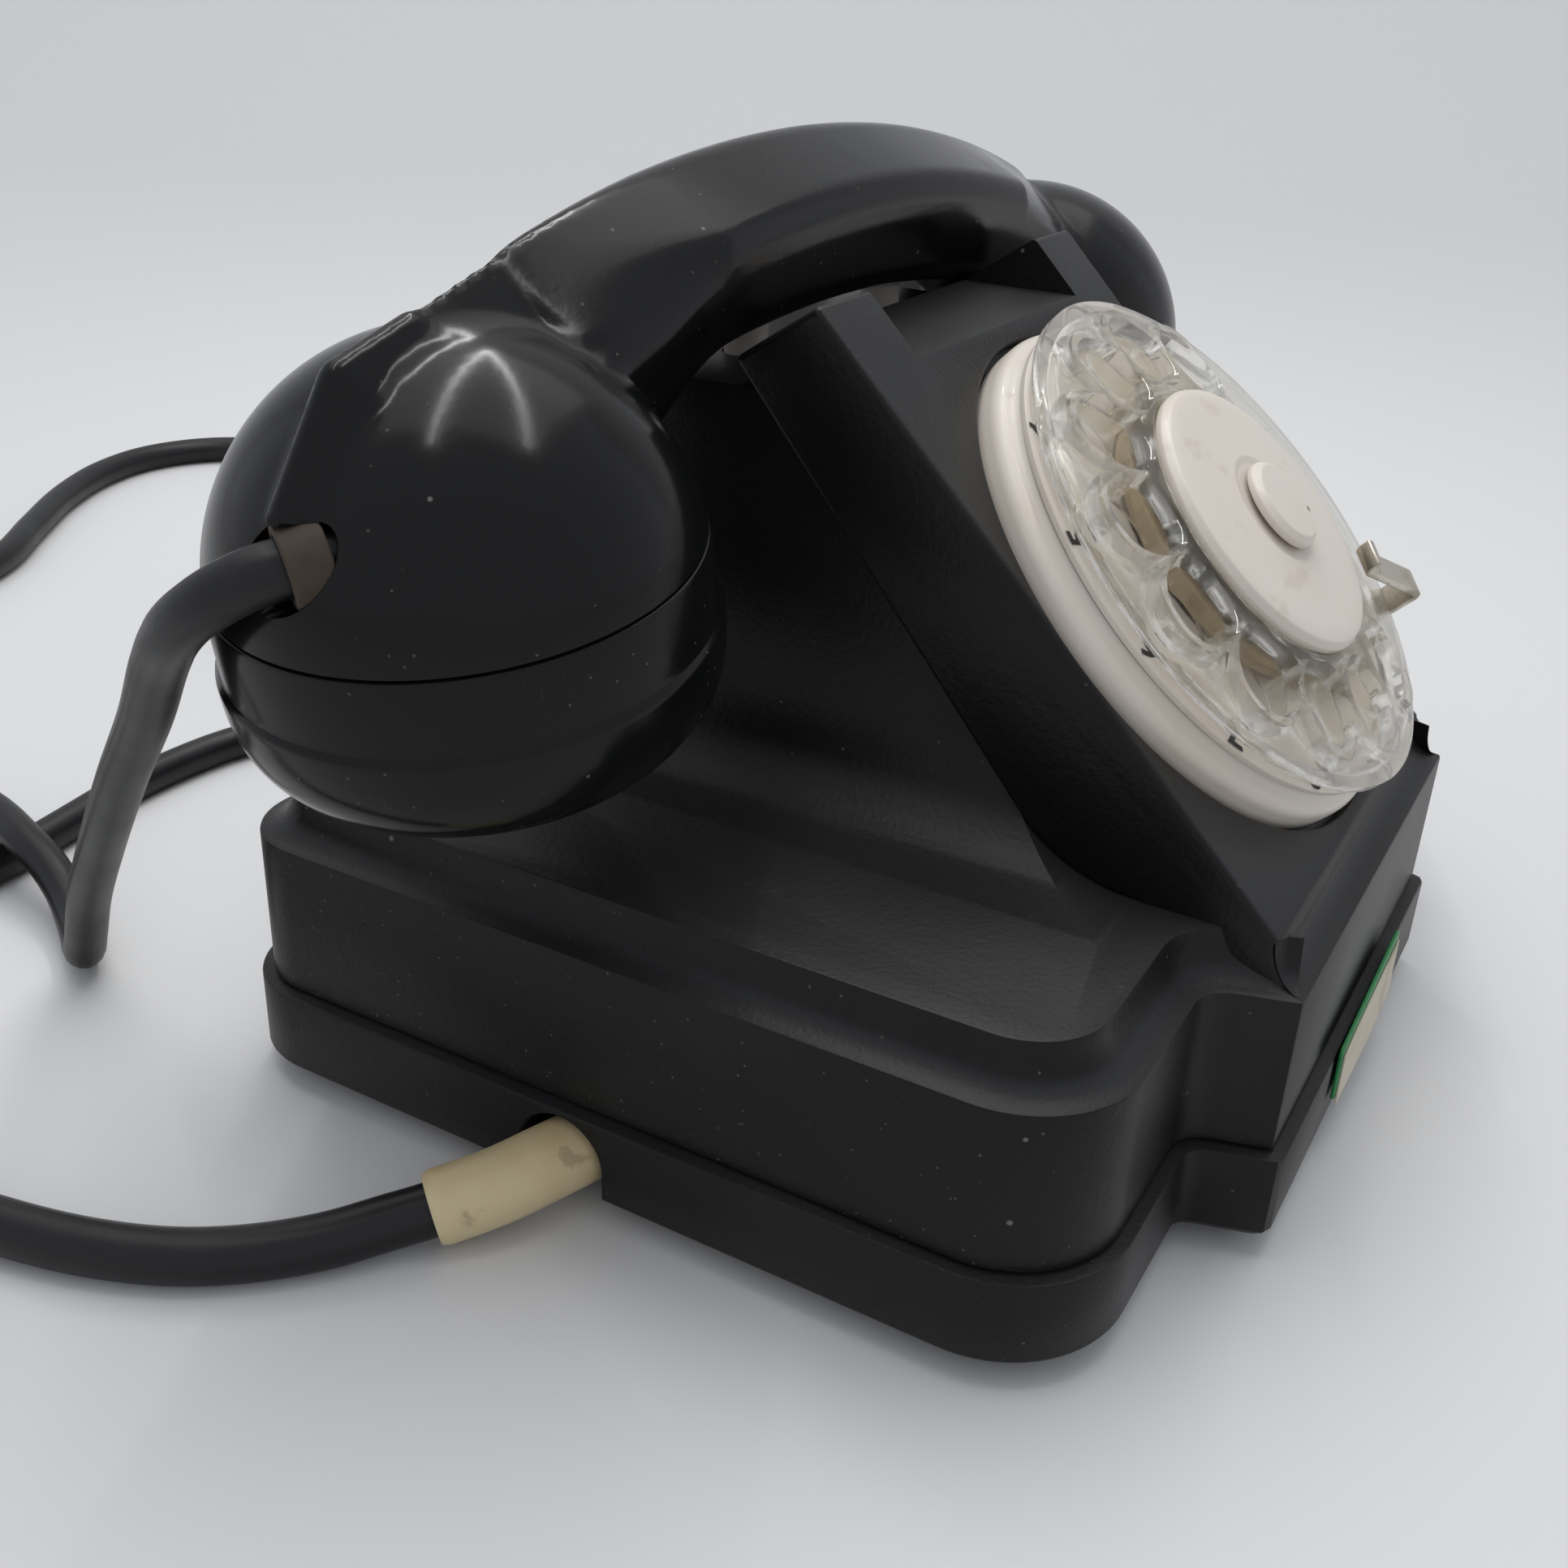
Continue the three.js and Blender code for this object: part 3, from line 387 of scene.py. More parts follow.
def combine(piece, other, operation, sharp=32):
    """Cuts, joins or crosses a piece with another, which is used up."""
    change = piece.modifiers.new("combine", "BOOLEAN")
    change.operation, change.object, change.solver = operation, other, "MANIFOLD"
    settle(piece, sharp)
    drop(other)


def bevel(piece, width, segments=2, angle=38):
    change = piece.modifiers.new("bevel", "BEVEL")
    change.width, change.segments = width * MM, segments
    change.limit_method, change.angle_limit = "ANGLE", math.radians(angle)
    change.use_clamp_overlap = True
    settle(piece, 40)


def arc(x, y, radius, start, stop, steps):
    turns = [math.radians(start + (stop - start) * i / steps) for i in range(steps + 1)]
    return [(x + radius * math.cos(t), y + radius * math.sin(t)) for t in turns]


def soften(points, radius, closed=True, steps=3):
    """Rounds each corner of an outline."""
    made = []
    count = len(points)
    for i, here in enumerate(points):
        here = Vector(here)
        if not closed and i in (0, count - 1):
            made.append(tuple(here))
            continue
        back, on = Vector(points[i - 1]) - here, Vector(points[(i + 1) % count]) - here
        if min(back.length, on.length) < 1e-6:
            continue
        angle = back.angle(on)
        cut = min(radius / math.tan(max(angle, 0.02) / 2), 0.45 * back.length, 0.45 * on.length)
        if angle > math.radians(165):
            made.append(tuple(here))
            continue
        a, b = here + back.normalized() * cut, here + on.normalized() * cut
        for k in range(steps + 1):
            t = k / steps
            made.append(tuple(a * (1 - t) ** 2 + here * (2 * t * (1 - t)) + b * t**2))
    return made


def offset(outline, distance):
    """Moves each side of a closed outline outwards, with mitred corners."""
    made = []
    for i, here in enumerate(outline):
        here = Vector(here)
        before = (here - Vector(outline[i - 1])).normalized()
        after = (Vector(outline[(i + 1) % len(outline)]) - here).normalized()
        a, b = Vector((before.y, -before.x)), Vector((after.y, -after.x))
        made.append(tuple(here + (a + b) * (distance / (1 + a.dot(b)))))
    return made


def skin_rings(name, rings, material=None, place=None, sharp=32):
    """A closed skin through rings of one point count."""
    count = len(rings[0])
    points = [p for ring in rings for p in ring]
    faces = []
    for i in range(len(rings) - 1):
        for j in range(count):
            k = (j + 1) % count
            faces.append((i * count + j, i * count + k, (i + 1) * count + k, (i + 1) * count + j))
    last = (len(rings) - 1) * count
    faces.append(tuple(range(count - 1, -1, -1)))
    faces.append(tuple(range(last, last + count)))
    return add_mesh(name, points, faces, material, place, sharp)


def stack(name, outline, levels, material=None, sharp=32):
    """Level rings of one outline: (height, outward offset) pairs, lowest first."""
    rings = [[(x, y, z) for x, y in offset(outline, out)] for z, out in levels]
    return skin_rings(name, rings, material, None, sharp)


def across(name, outline, half, round_to=0.01, steps=1):
    """A (y, z) outline carried along X, with square end edges unless a rounding is given."""
    ends = []
    for i in range(steps + 1):
        turn = math.pi / 2 * i / steps
        ends.append((half - round_to * (1 - math.cos(turn)), round_to * (1 - math.sin(turn))))
    ends = [(-x, inset) for x, inset in ends] + ends[::-1]
    return skin_rings(name, [[(x, y, z) for y, z in offset(outline, -inset)] for x, inset in ends])


def box(name, low, high):
    (a, b, c), (d, e, f) = low, high
    ring = [(a, b), (d, b), (d, e), (a, e)]
    return skin_rings(name, [[(x, y, c) for x, y in ring], [(x, y, f) for x, y in ring]])


def turned(name, profile, material=None, place=None, segments=128, sharp=32):
    """A turned piece about +Z from (radius, height) pairs, listed outwards and upwards."""
    points, faces, index = [], [], []
    for r, z in profile:
        if r < AXIS:
            index.append([len(points)] * segments)
            points.append((0, 0, z))
        else:
            index.append(list(range(len(points), len(points) + segments)))
            for k in range(segments):
                turn = 2 * math.pi * k / segments
                points.append((r * math.cos(turn), r * math.sin(turn), z))
    hollow = profile[0][0] > AXIS
    for low, high in zip(index, index[1:] + index[:1] if hollow else index[1:]):
        for k in range(segments):
            n = (k + 1) % segments
            face = [low[k], low[n], high[n], high[k]]
            face = [v for i, v in enumerate(face) if v != face[i - 1]]
            if len(face) > 2:
                faces.append(face)
    return add_mesh(name, points, faces, material, place, sharp)


def disc(name, radius, low, high, place=None, segments=64):
    return turned(name, [(0, low), (radius, low), (radius, high), (0, high)], None, place, segments)


def washer(inner, outer, low, high, round_to=0.3):
    return soften([(inner, low), (outer, low), (outer, high), (inner, high)], round_to)


def between(t, a, b, start, stop):
    return a * ((stop - t) / (stop - start)) + b * ((t - start) / (stop - start))


def smooth_path(points, spacing=2.0):
    """Points along one smooth curve through the given ones, evenly spaced."""
    given = [Vector(p) for p in points]
    given = [given[0] * 2 - given[1], *given, given[-1] * 2 - given[-2]]
    line = []
    for i in range(1, len(given) - 2):
        p0, p1, p2, p3 = given[i - 1 : i + 3]
        t1 = (p1 - p0).length ** 0.5
        t2 = t1 + (p2 - p1).length ** 0.5
        t3 = t2 + (p3 - p2).length ** 0.5
        for k in range(24):
            t = t1 + (t2 - t1) * k / 24
            a = between(t, p0, p1, 0, t1)
            b = between(t, p1, p2, t1, t2)
            c = between(t, p2, p3, t2, t3)
            line.append(between(t, between(t, a, b, 0, t2), between(t, b, c, t1, t3), t1, t2))
    line.append(given[-2])
    steps = [0.0]
    for a, b in zip(line, line[1:]):
        steps.append(steps[-1] + (b - a).length)
    even = np.linspace(0, steps[-1], max(2, int(steps[-1] / spacing) + 1))
    return [Vector(p) for p in zip(*(np.interp(even, steps, values) for values in zip(*line)))]


def length_of(line):
    return sum((b - a).length for a, b in zip(line, line[1:]))


def tube_frames(line):
    """Two directions across a path at each point, without twist."""
    side = None
    for i, here in enumerate(line):
        along = (line[min(i + 1, len(line) - 1)] - line[max(i - 1, 0)]).normalized()
        if side is None:
            side = along.orthogonal().normalized()
        side = (side - along * side.dot(along)).normalized()
        yield here, side, along.cross(side)


def pipe(name, line, inner, outer, material):
    """An open tube with a wall and rounded ends, along a path."""
    sides, lip = 48, 0.35
    frames = list(tube_frames(line))

    def ring(i, radius):
        here, a, b = frames[i]
        turns = [2 * math.pi * k / sides for k in range(sides)]
        return [tuple(here + a * (radius * math.cos(t)) + b * (radius * math.sin(t))) for t in turns]

    last = len(frames) - 1
    rings = [ring(0, outer - lip), *(ring(i, outer) for i in range(1, last)), ring(last, outer - lip),
             ring(last, inner + lip), *(ring(i, inner) for i in range(last - 1, 0, -1)),
             ring(0, inner + lip)]
    points = [p for r in rings for p in r]
    faces = []
    for i in range(len(rings)):
        j = (i + 1) % len(rings)
        for k in range(sides):
            n = (k + 1) % sides
            faces.append((i * sides + k, i * sides + n, j * sides + n, j * sides + k))
    piece = add_mesh(name, points, faces, material)
    outward(piece)
    return piece


def outward(piece):
    work = bmesh.new()
    work.from_mesh(piece.data)
    bmesh.ops.recalc_face_normals(work, faces=work.faces)
    work.to_mesh(piece.data)
    work.free()
    smooth(piece)


def grow(name, distance, low, high, step, material):
    """Meshes the surface where a distance function is zero, and settles each point onto it."""
    axes = [np.arange(a, b + step, step) for a, b in zip(low, high)]
    value = distance(*np.meshgrid(*axes, indexing="ij"))
    shape = tuple(n - 1 for n in value.shape)
    places = list(np.ndindex(2, 2, 2))
    corner = [value[i : i + shape[0], j : j + shape[1], k : k + shape[2]] for i, j, k in places]
    inside = sum((c < 0).astype(np.int8) for c in corner)
    active = (inside > 0) & (inside < 8)
    number = np.full(shape, -1, np.int64)
    number[active] = np.arange(active.sum())
    cell = np.argwhere(active)
    total, crossings = np.zeros((len(cell), 3)), np.zeros(len(cell))
    held = [c[active] for c in corner]
    for a in range(8):
        for b in range(a + 1, 8):
            if sum(x != y for x, y in zip(places[a], places[b])) != 1:
                continue
            cut = (held[a] < 0) != (held[b] < 0)
            share = np.where(cut, held[a] / np.where(cut, held[a] - held[b], 1), 0)[:, None]
            where = np.array(places[a]) + share * (np.array(places[b]) - np.array(places[a]))
            total += where * cut[:, None]
            crossings += cut
    points = (cell + total / crossings[:, None]) * step + np.array([a[0] for a in axes])
    faces = []
    for axis in range(3):
        u, v = (axis + 1) % 3, (axis + 2) % 3
        within = np.moveaxis(value, (axis, u, v), (0, 1, 2))[:, 1:-1, 1:-1] < 0
        first, second = within[:-1], within[1:]
        ids = np.moveaxis(number, (axis, u, v), (0, 1, 2))
        quad = np.stack([ids[:, :-1, :-1], ids[:, 1:, :-1], ids[:, 1:, 1:], ids[:, :-1, 1:]], axis=-1)
        faces.append(quad[first & ~second])
        faces.append(quad[second & ~first][:, ::-1])
    small = step * 0.1
    for _ in range(4):
        x, y, z = points.T
        here = distance(x, y, z)
        slope = np.stack([distance(x + small, y, z) - here, distance(x, y + small, z) - here,
                          distance(x, y, z + small) - here], axis=1) / small
        steepness = np.maximum((slope**2).sum(1), 0.2)
        points = points - np.clip(here / steepness, -step / 2, step / 2)[:, None] * slope
    return add_mesh(name, points.tolist(), np.concatenate(faces).tolist(), material, None, 50)


def soft_max(a, b, k):
    h = np.clip(0.5 + 0.5 * (a - b) / k, 0, 1)
    return b + (a - b) * h + k * h * (1 - h)


def soft_min(a, b, k):
    return -soft_max(-a, -b, k)


def finished(piece, body, slot, *nodes):
    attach(piece, body)
    if nodes:
        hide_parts(*nodes)
    return piece


# ------------------------------------------------------------------ case
def base_outline():
    """The plan of the case: a narrow pedestal in front, two lobes beside it, rounded rear corners."""
    front, rear, fillet, turn = 15, 11, 5, 17.6
    right = [(PEDESTAL_HALF - 0.5, -PEDESTAL_FRONT), (PEDESTAL_HALF - 0.15, -PEDESTAL_FRONT + 0.15)]
    right += [(PEDESTAL_HALF, -PEDESTAL_FRONT + 0.5)]
    right += arc(PEDESTAL_HALF + 6.9, -LOBE_FRONT - fillet, fillet, 180 - turn, 90, 10)
    right += arc(HALF_WIDTH - front, front - LOBE_FRONT, front, -90, 0, 22)
    right += arc(HALF_WIDTH - rear, BACK - rear, rear, 0, 90, 16)
    return right + [(-x, y) for x, y in reversed(right)]


def panel_point(up, out=0.0):
    return (PANEL_FOOT + math.cos(SLOPE) * up - math.sin(SLOPE) * out,
            DECK + math.sin(SLOPE) * up + math.cos(SLOPE) * out)


def slab_sweep(steps=16):
    foot = SLAB_TOP[0] - (SLAB_TOP[1] - DECK) / math.tan(SLAB_SLOPE)
    reach = SWEEP * math.tan(SLAB_SLOPE / 2)
    return arc(foot - reach, DECK + SWEEP, SWEEP, -90, math.degrees(SLAB_SLOPE) - 90, steps)


def tower_outline():
    front_top = SLAB_TOP[0] - (SLAB_TOP[1] - SADDLE) / math.tan(SLAB_SLOPE)
    foot = TOWER_BACK + 12
    outline = [(slab_sweep()[0][0], DECK - 2.5), (foot, DECK - 2.5), (foot, DECK)]
    outline += arc(foot, DECK + 9, 9, -90, -172, 12)[1:]
    outline += soften([(TOWER_BACK, HORN_TOP - 3), (TOWER_BACK, HORN_TOP), (TOWER_BACK - 5.5, HORN_TOP),
                       (HORN_FOOT, SADDLE), (front_top, SADDLE)], 0.8, False)
    return outline + slab_sweep()[::-1]


def flare_outline():
    side = [(TOWER_HALF + FLARE, DECK - 2.5)]
    side += arc(TOWER_HALF + FLARE, DECK + FLARE, FLARE, 270, 180, 18)
    side += [(TOWER_HALF, HORN_TOP + 1)]
    return side + [(-x, z) for x, z in reversed(side)]


def slab_outline(round_to):
    sweep = slab_sweep()
    corners = soften([sweep[-1], SLAB_TOP, panel_point(PANEL_LENGTH), panel_point(PANEL_LENGTH / 2)],
                     round_to, False)
    foot = []
    for angle in range(84, 8, -8):
        turn = math.radians(angle)
        foot.append((COVE * math.sin(turn) - PEDESTAL_FRONT, LEDGE + (DECK - LEDGE) * (1 - math.cos(turn))))
    low = LEDGE - 1
    return [(foot[-1][0] + 0.4, low), (sweep[0][0], low), *sweep[:-1], *corners, panel_point(0.1), *foot]


def rim_levels(top, out):
    """The last levels of a stack: its top edge, lightly rounded."""
    return [(top - 0.45, out), (top - 0.12, out - 0.13), (top, out - 0.5)]


def cove_levels():
    rise = DECK - LEDGE
    levels = [(LEDGE - 0.5, 0), (LEDGE - 0.15, -0.12), (LEDGE + 0.02, -0.5)]
    for angle in range(12, 80, 8):
        turn = math.radians(angle)
        levels.append((LEDGE + rise * (1 - math.cos(turn)), -COVE * math.sin(turn)))
    return levels + rim_levels(DECK, -COVE)


class AddCase(bpy.types.Operator):
    """Adds the moulded upper case with its cradle horns and the sloped dial panel"""

    bl_idname = "telephone.add_case"
    bl_label = "Case"

    def execute(self, context):
        sizes = context.scene.telephone_case
        edge = sizes.edge_radius / MM
        outline = base_outline()
        case = stack("case_upper", outline, [(SEAM + 0.15, -0.4), (SEAM + 0.5, 0), *cove_levels()])
        tower = across("tower", tower_outline(), TOWER_HALF + FLARE)
        flare = flare_outline()
        spread = skin_rings("flare", [[(x, TOWER_BACK + 14, z) for x, z in flare],
                                      [(x, PANEL_FOOT - 2, z) for x, z in flare]])
        combine(tower, spread, "INTERSECT")
        slab = across("slab", slab_outline(edge), PANEL_HALF, edge, 3)
        for part in (tower, slab):
            combine(part, box("notch", (-27, PANEL_FOOT, 102.5), (27, TOWER_BACK + 9, 120)), "DIFFERENCE")
        bevel(tower, edge * 0.8)
        combine(case, tower, "UNION")
        combine(case, slab, "UNION")
        hollow = stack("hollow", outline, [(SEAM - 1, -WALL), (LEDGE - 3, -WALL),
                                           (DECK - WALL, -COVE - WALL)])
        combine(case, hollow, "DIFFERENCE")
        inner = [(PANEL_FOOT + WALL * 1.6, SEAM), (TOWER_BACK - WALL, SEAM),
                 (TOWER_BACK - WALL, SADDLE - WALL), panel_point(78, -WALL), panel_point(2, -WALL)]
        combine(case, across("inner", inner, TOWER_HALF - WALL), "DIFFERENCE")
        combine(case, disc("dial_way", 33.5, -WALL - 3, 5, DIAL_PLACE, 96), "DIFFERENCE")
        profile = [(0, -2), (RECESS, -2), (RECESS, -edge), (RECESS + edge * 0.3, -edge * 0.3),
                   (RECESS + edge, 0.02), (40, 60), (0, 60)]
        recess = turned("recess", profile, None, DIAL_PLACE, 160)
        combine(case, recess, "DIFFERENCE")
        for side in (-1, 1):
            place = Matrix.Translation((side * 20, GRIP_Y, 0))
            combine(case, disc("guide", 3.3, SADDLE - WALL - 1, SADDLE + 9, place, 40), "DIFFERENCE")
        dress(case, FINISH["bakelite"])
        smooth(case, 34)
        finished(case, "phone", "bakelite", "housing")
        return {"FINISHED"}


class AddTray(bpy.types.Operator):
    """Adds the base tray with its two cord slots"""

    bl_idname = "telephone.add_tray"
    bl_label = "Base tray"

    def execute(self, context):
        outline = base_outline()
        top = SEAM - 0.15
        foot = [(2, PROUD - 2.7), (2.15, PROUD - 2.25), (4.0, PROUD - 0.3), (4.5, PROUD)]
        tray = stack("tray", outline, foot + rim_levels(top, PROUD))
        hollow = stack("hollow", outline, [(5.5, PROUD - 3.2), (top + 1, PROUD - 3.2)])
        combine(tray, hollow, "DIFFERENCE")
        for radius, height, spot, turn in ((6.3, 8.2, (-HALF_WIDTH, 11.4, 0), 0),
                                           (4.6, 7.9, (22, BACK, 0), -90)):
            arch = [(radius, -1), *arc(0, height, radius, 0, 180, 20), (-radius, -1)]
            rings = [[(x, y, z) for y, z in offset(arch, flare)]
                     for x, flare in ((-8, 0.9), (-2.0, 0.5), (-1.4, 0), (8, 0))]
            place = Matrix.Translation(spot) @ Matrix.Rotation(math.radians(turn), 4, "Z")
            combine(tray, skin_rings("slot", rings, None, place), "DIFFERENCE")
        dress(tray, FINISH["bakelite"])
        smooth(tray, 34)
        finished(tray, "phone", "bakelite", "base_tray")
        return {"FINISHED"}


# ------------------------------------------------------------------ dial
def hole_tubes(name, material, place, inner, outer, low, high, circle, first, step, count):
    """Round tubes set along an arc, made with Geometry Nodes."""
    tree = bpy.data.node_groups.new(name, "GeometryNodeTree")
    sizes = {"Hole radius": inner * MM, "Tube radius": outer * MM, "Low": low * MM, "High": high * MM,
             "Circle": circle * MM, "First angle": math.radians(first), "Step angle": math.radians(step),
             "Count": count}
    keys = {}
    for label, value in sizes.items():
        kind = "NodeSocketInt" if label == "Count" else "NodeSocketFloat"
        socket = tree.interface.new_socket(label, in_out="INPUT", socket_type=kind)
        socket.default_value = value
        keys[label] = socket.identifier
    tree.interface.new_socket("Geometry", in_out="OUTPUT", socket_type="NodeSocketGeometry")
    given = tree.nodes.new("NodeGroupInput").outputs

    def node(kind, settings=None, inputs=None):
        made = tree.nodes.new(kind)
        for key, value in (settings or {}).items():
            setattr(made, key, value)
        for key, value in (inputs or {}).items():
            if isinstance(value, bpy.types.NodeSocket):
                tree.links.new(value, made.inputs[key])
            else:
                made.inputs[key].default_value = value
        return made

    def maths(operation, *values):
        return node("ShaderNodeMath", {"operation": operation}, dict(enumerate(values))).outputs[0]

    wall = maths("SUBTRACT", given["Tube radius"], given["Hole radius"])
    middle = maths("MULTIPLY", maths("ADD", given["Tube radius"], given["Hole radius"]), 0.5)
    height = maths("SUBTRACT", given["High"], given["Low"])
    ring = node("GeometryNodeCurvePrimitiveCircle", {"mode": "RADIUS"},
                {"Resolution": 64, "Radius": middle})
    section = node("GeometryNodeCurvePrimitiveQuadrilateral", {"mode": "RECTANGLE"},
                   {"Width": wall, "Height": height})
    tube = node("GeometryNodeCurveToMesh", None,
                {"Curve": ring.outputs["Curve"], "Profile Curve": section.outputs["Curve"]})
    turn = maths("ADD", given["First angle"],
                 maths("MULTIPLY", node("GeometryNodeInputIndex").outputs[0], given["Step angle"]))
    where = node("ShaderNodeCombineXYZ", None, {
        0: maths("MULTIPLY", maths("COSINE", turn), given["Circle"]),
        1: maths("MULTIPLY", maths("SINE", turn), given["Circle"]),
        2: maths("MULTIPLY", maths("ADD", given["High"], given["Low"]), 0.5)})
    spots = node("GeometryNodePoints", None, {"Count": given["Count"], "Position": where.outputs[0]})
    copies = node("GeometryNodeInstanceOnPoints", None,
                  {"Points": spots.outputs[0], "Instance": tube.outputs["Mesh"]})
    real = node("GeometryNodeRealizeInstances", None, {0: copies.outputs[0]})
    dressed = node("GeometryNodeSetMaterial", None, {"Geometry": real.outputs[0], "Material": material})
    leave = tree.nodes.new("NodeGroupOutput")
    tree.links.new(dressed.outputs[0], leave.inputs[0])
    piece = add_object(name, bpy.data.meshes.new(name))
    change = piece.modifiers.new("tubes", "NODES")
    change.node_group = tree
    for label, value in sizes.items():
        change[keys[label]] = value
    settle(piece)
    piece.data.transform(Matrix.Scale(1 / MM, 4))
    piece.data.transform(Matrix.Scale(MM, 4) @ place)
    outward(piece)
    return piece


def hole_angle(number):
    return math.radians(FIRST_HOLE + HOLE_STEP * number)


def on_dial(turn, radius, height=0):
    return DIAL_PLACE @ Matrix.Translation((radius * math.cos(turn), radius * math.sin(turn), height))


def top_of_wheel(radius):
    """Height of the wheel's domed top face at a radius."""
    pairs = [(20.5, 13.0), (24, 12.9), (28.3, 12.2), (32.5, 11.3), (35.5, 10.5), (37.2, 9.7)]
    return float(np.interp(radius, *zip(*pairs)))


class AddDial(bpy.types.Operator):
    """Adds the dial: ivory case, number ring with digits, clear finger wheel, cap, plug and stop"""

    bl_idname = "telephone.add_dial"
    bl_label = "Dial"

    def execute(self, context):
        self.add_case_and_ring()
        self.add_digits(context.scene.telephone_dial.digit_height)
        self.add_wheel()
        self.add_cap()
        self.add_stop()
        return {"FINISHED"}

    def add_case_and_ring(self):
        low = -1.7
        profile = [(8, 3), (30.5, 3), (30.5, -20), (32.5, -20), (32.5, low), (38.4, low), (38.4, 0.9)]
        profile += arc(35.7, 0.9, 2.7, 0, 62, 10)[1:] + [(36.6, 3.9), (36.3, 4.4), (8, 4.4)]
        case = turned("dial_pan", profile, FINISH["ivory"], DIAL_PLACE, 192, 40)
        finished(case, "phone", "ivory", "dial_case")
        profile = [(20.5, 4.7), (36.9, 4.7), (36.9, 5.6), (36.4, 5.95), (20.5, 5.95)]
        ring = turned("digit_ring", soften(profile, 0.25, True, 4), FINISH["ivory"], DIAL_PLACE, 160)
        finished(ring, "phone", "ivory", "number_ring")
        band = turned("hub_band", washer(18.8, 20.9, 6.6, 9.1, 0.3), FINISH["amber"], DIAL_PLACE, 128)
        finished(band, "dial", "ivory")

    def add_digits(self, height):
        points, faces = [], []
        for i in range(HOLES):
            text = bpy.data.curves.new("digit", "FONT")
            text.body = str((i + 1) % 10)
            text.size, text.extrude, text.offset = height * 1.35, 0.00003, 0.00014
            text.align_x, text.align_y = "CENTER", "CENTER"
            holder = linked("digit", text)
            mesh = plain_mesh(holder)
            turn = hole_angle(i)
            place = on_dial(turn, 34.6, 5.99) @ Matrix.Rotation(turn - math.pi / 2, 4, "Z")
            first = len(points)
            points += [tuple(place @ (v.co / MM)) for v in mesh.vertices]
            faces += [tuple(first + v for v in p.vertices) for p in mesh.polygons]
            bpy.data.objects.remove(holder)
            bpy.data.meshes.remove(mesh)
        digits = add_mesh("digits", points, faces, FINISH["print"])
        finished(digits, "phone", "rubber")

    def add_wheel(self):
        clear = FINISH["clear"]
        top = [(r, top_of_wheel(r)) for r in (35.5, 32.5, 30.4, HOLE_CIRCLE, 26, 24, 22)]
        under = [(r, top_of_wheel(r) - 2.5) for r in (24, HOLE_CIRCLE, 32.5, 34.5)]
        profile = [(3.5, 9.2), (18, 9.2), (20.6, 10.2), *under, (35.4, 7.3), (37.3, 7.2), (38, 7.9),
                   (38, 9.3), (37.2, 9.8), *top, (20.9, 13.0), (20.7, 12.6), (20.7, 11.9), (3.5, 11.9)]
        wheel = turned("clear_wheel", profile, clear, DIAL_PLACE, 192)
        tubes = hole_tubes("finger_tubes", clear, DIAL_PLACE, 5.72, 6.9, 7.3, 11.2,
                           HOLE_CIRCLE, FIRST_HOLE, HOLE_STEP, HOLES)
        combine(wheel, tubes, "UNION")
        profile = [(0, 5), (5.7, 5), (5.7, 11.1), (6.0, 12.0), (7.2, 13.6), (7.2, 20), (0, 20)]
        for i in range(HOLES):
            hole = turned("hole", profile, None, on_dial(hole_angle(i), HOLE_CIRCLE), 64)
            combine(wheel, hole, "DIFFERENCE")
        dress(wheel, clear)
        smooth(wheel, 40)
        finished(wheel, "dial", "clear", "finger_wheel")

    def add_cap(self):
        ivory = FINISH["ivory"]
        profile = [(2.9, 12.3), (20.3, 12.3), (20.3, 13.5), (19.7, 14.5), (18.6, 14.85), (16.5, 14.95),
                   (8.4, 15.6), (7.4, 15.3), (6.6, 15.3), (2.9, 15.6)]
        cap = turned("dial_cap", soften(profile, 0.6, True, 5), ivory, DIAL_PLACE, 160)
        finished(cap, "dial", "ivory", "wheel_cap")
        profile = [(0, 12.6), (2.6, 12.6), (2.6, 15.9), (6.5, 15.9), (6.5, 16.9), (5.6, 17.7), (2, 17.75),
                   (0, 17.75)]
        plug = turned("dial_plug", soften(profile, 0.5, False, 5), ivory, DIAL_PLACE, 96)
        spot = DIAL_PLACE @ Matrix.Translation((3.9, -2.6, 0))
        combine(plug, disc("pin_hole", 0.45, 16.8, 20, spot, 20), "DIFFERENCE", 34)
        dress(plug, ivory)
        finished(plug, "dial", "ivory", "centre_plug")

    def add_stop(self):
        outer = RECESS + 0.65
        centre = soften([(outer, 4.9), (outer, 13.6), (25.2, 13.6), (25.0, 16.0)], 1.2, False, 6)
        half, thick = 2.1, 0.6
        rings = []
        for i, here in enumerate(centre):
            back, on = Vector(centre[max(i - 1, 0)]), Vector(centre[min(i + 1, len(centre) - 1)])
            along = (on - back).normalized()
            out = Vector((along.y, -along.x)) * thick
            a, b = Vector(here) + out, Vector(here) - out
            rings.append([(a.x, -half, a.y), (a.x, half, a.y), (b.x, half, b.y), (b.x, -half, b.y)])
        place = DIAL_PLACE @ Matrix.Rotation(math.radians(-34), 4, "Z")
        stop = skin_rings("stop_hook", rings, FINISH["nickel"], place)
        outward(stop)
        bevel(stop, 0.25, 3, 50)
        finished(stop, "phone", "nickel", "finger_stop")


# ------------------------------------------------------------------ handset
def beyond(u, v, p, q):
    """How far (u, v) lies to the left of the line from p to q."""
    du, dv = q[0] - p[0], q[1] - p[1]
    return ((v - p[1]) * du - (u - p[0]) * dv) / np.sqrt(du**2 + dv**2)


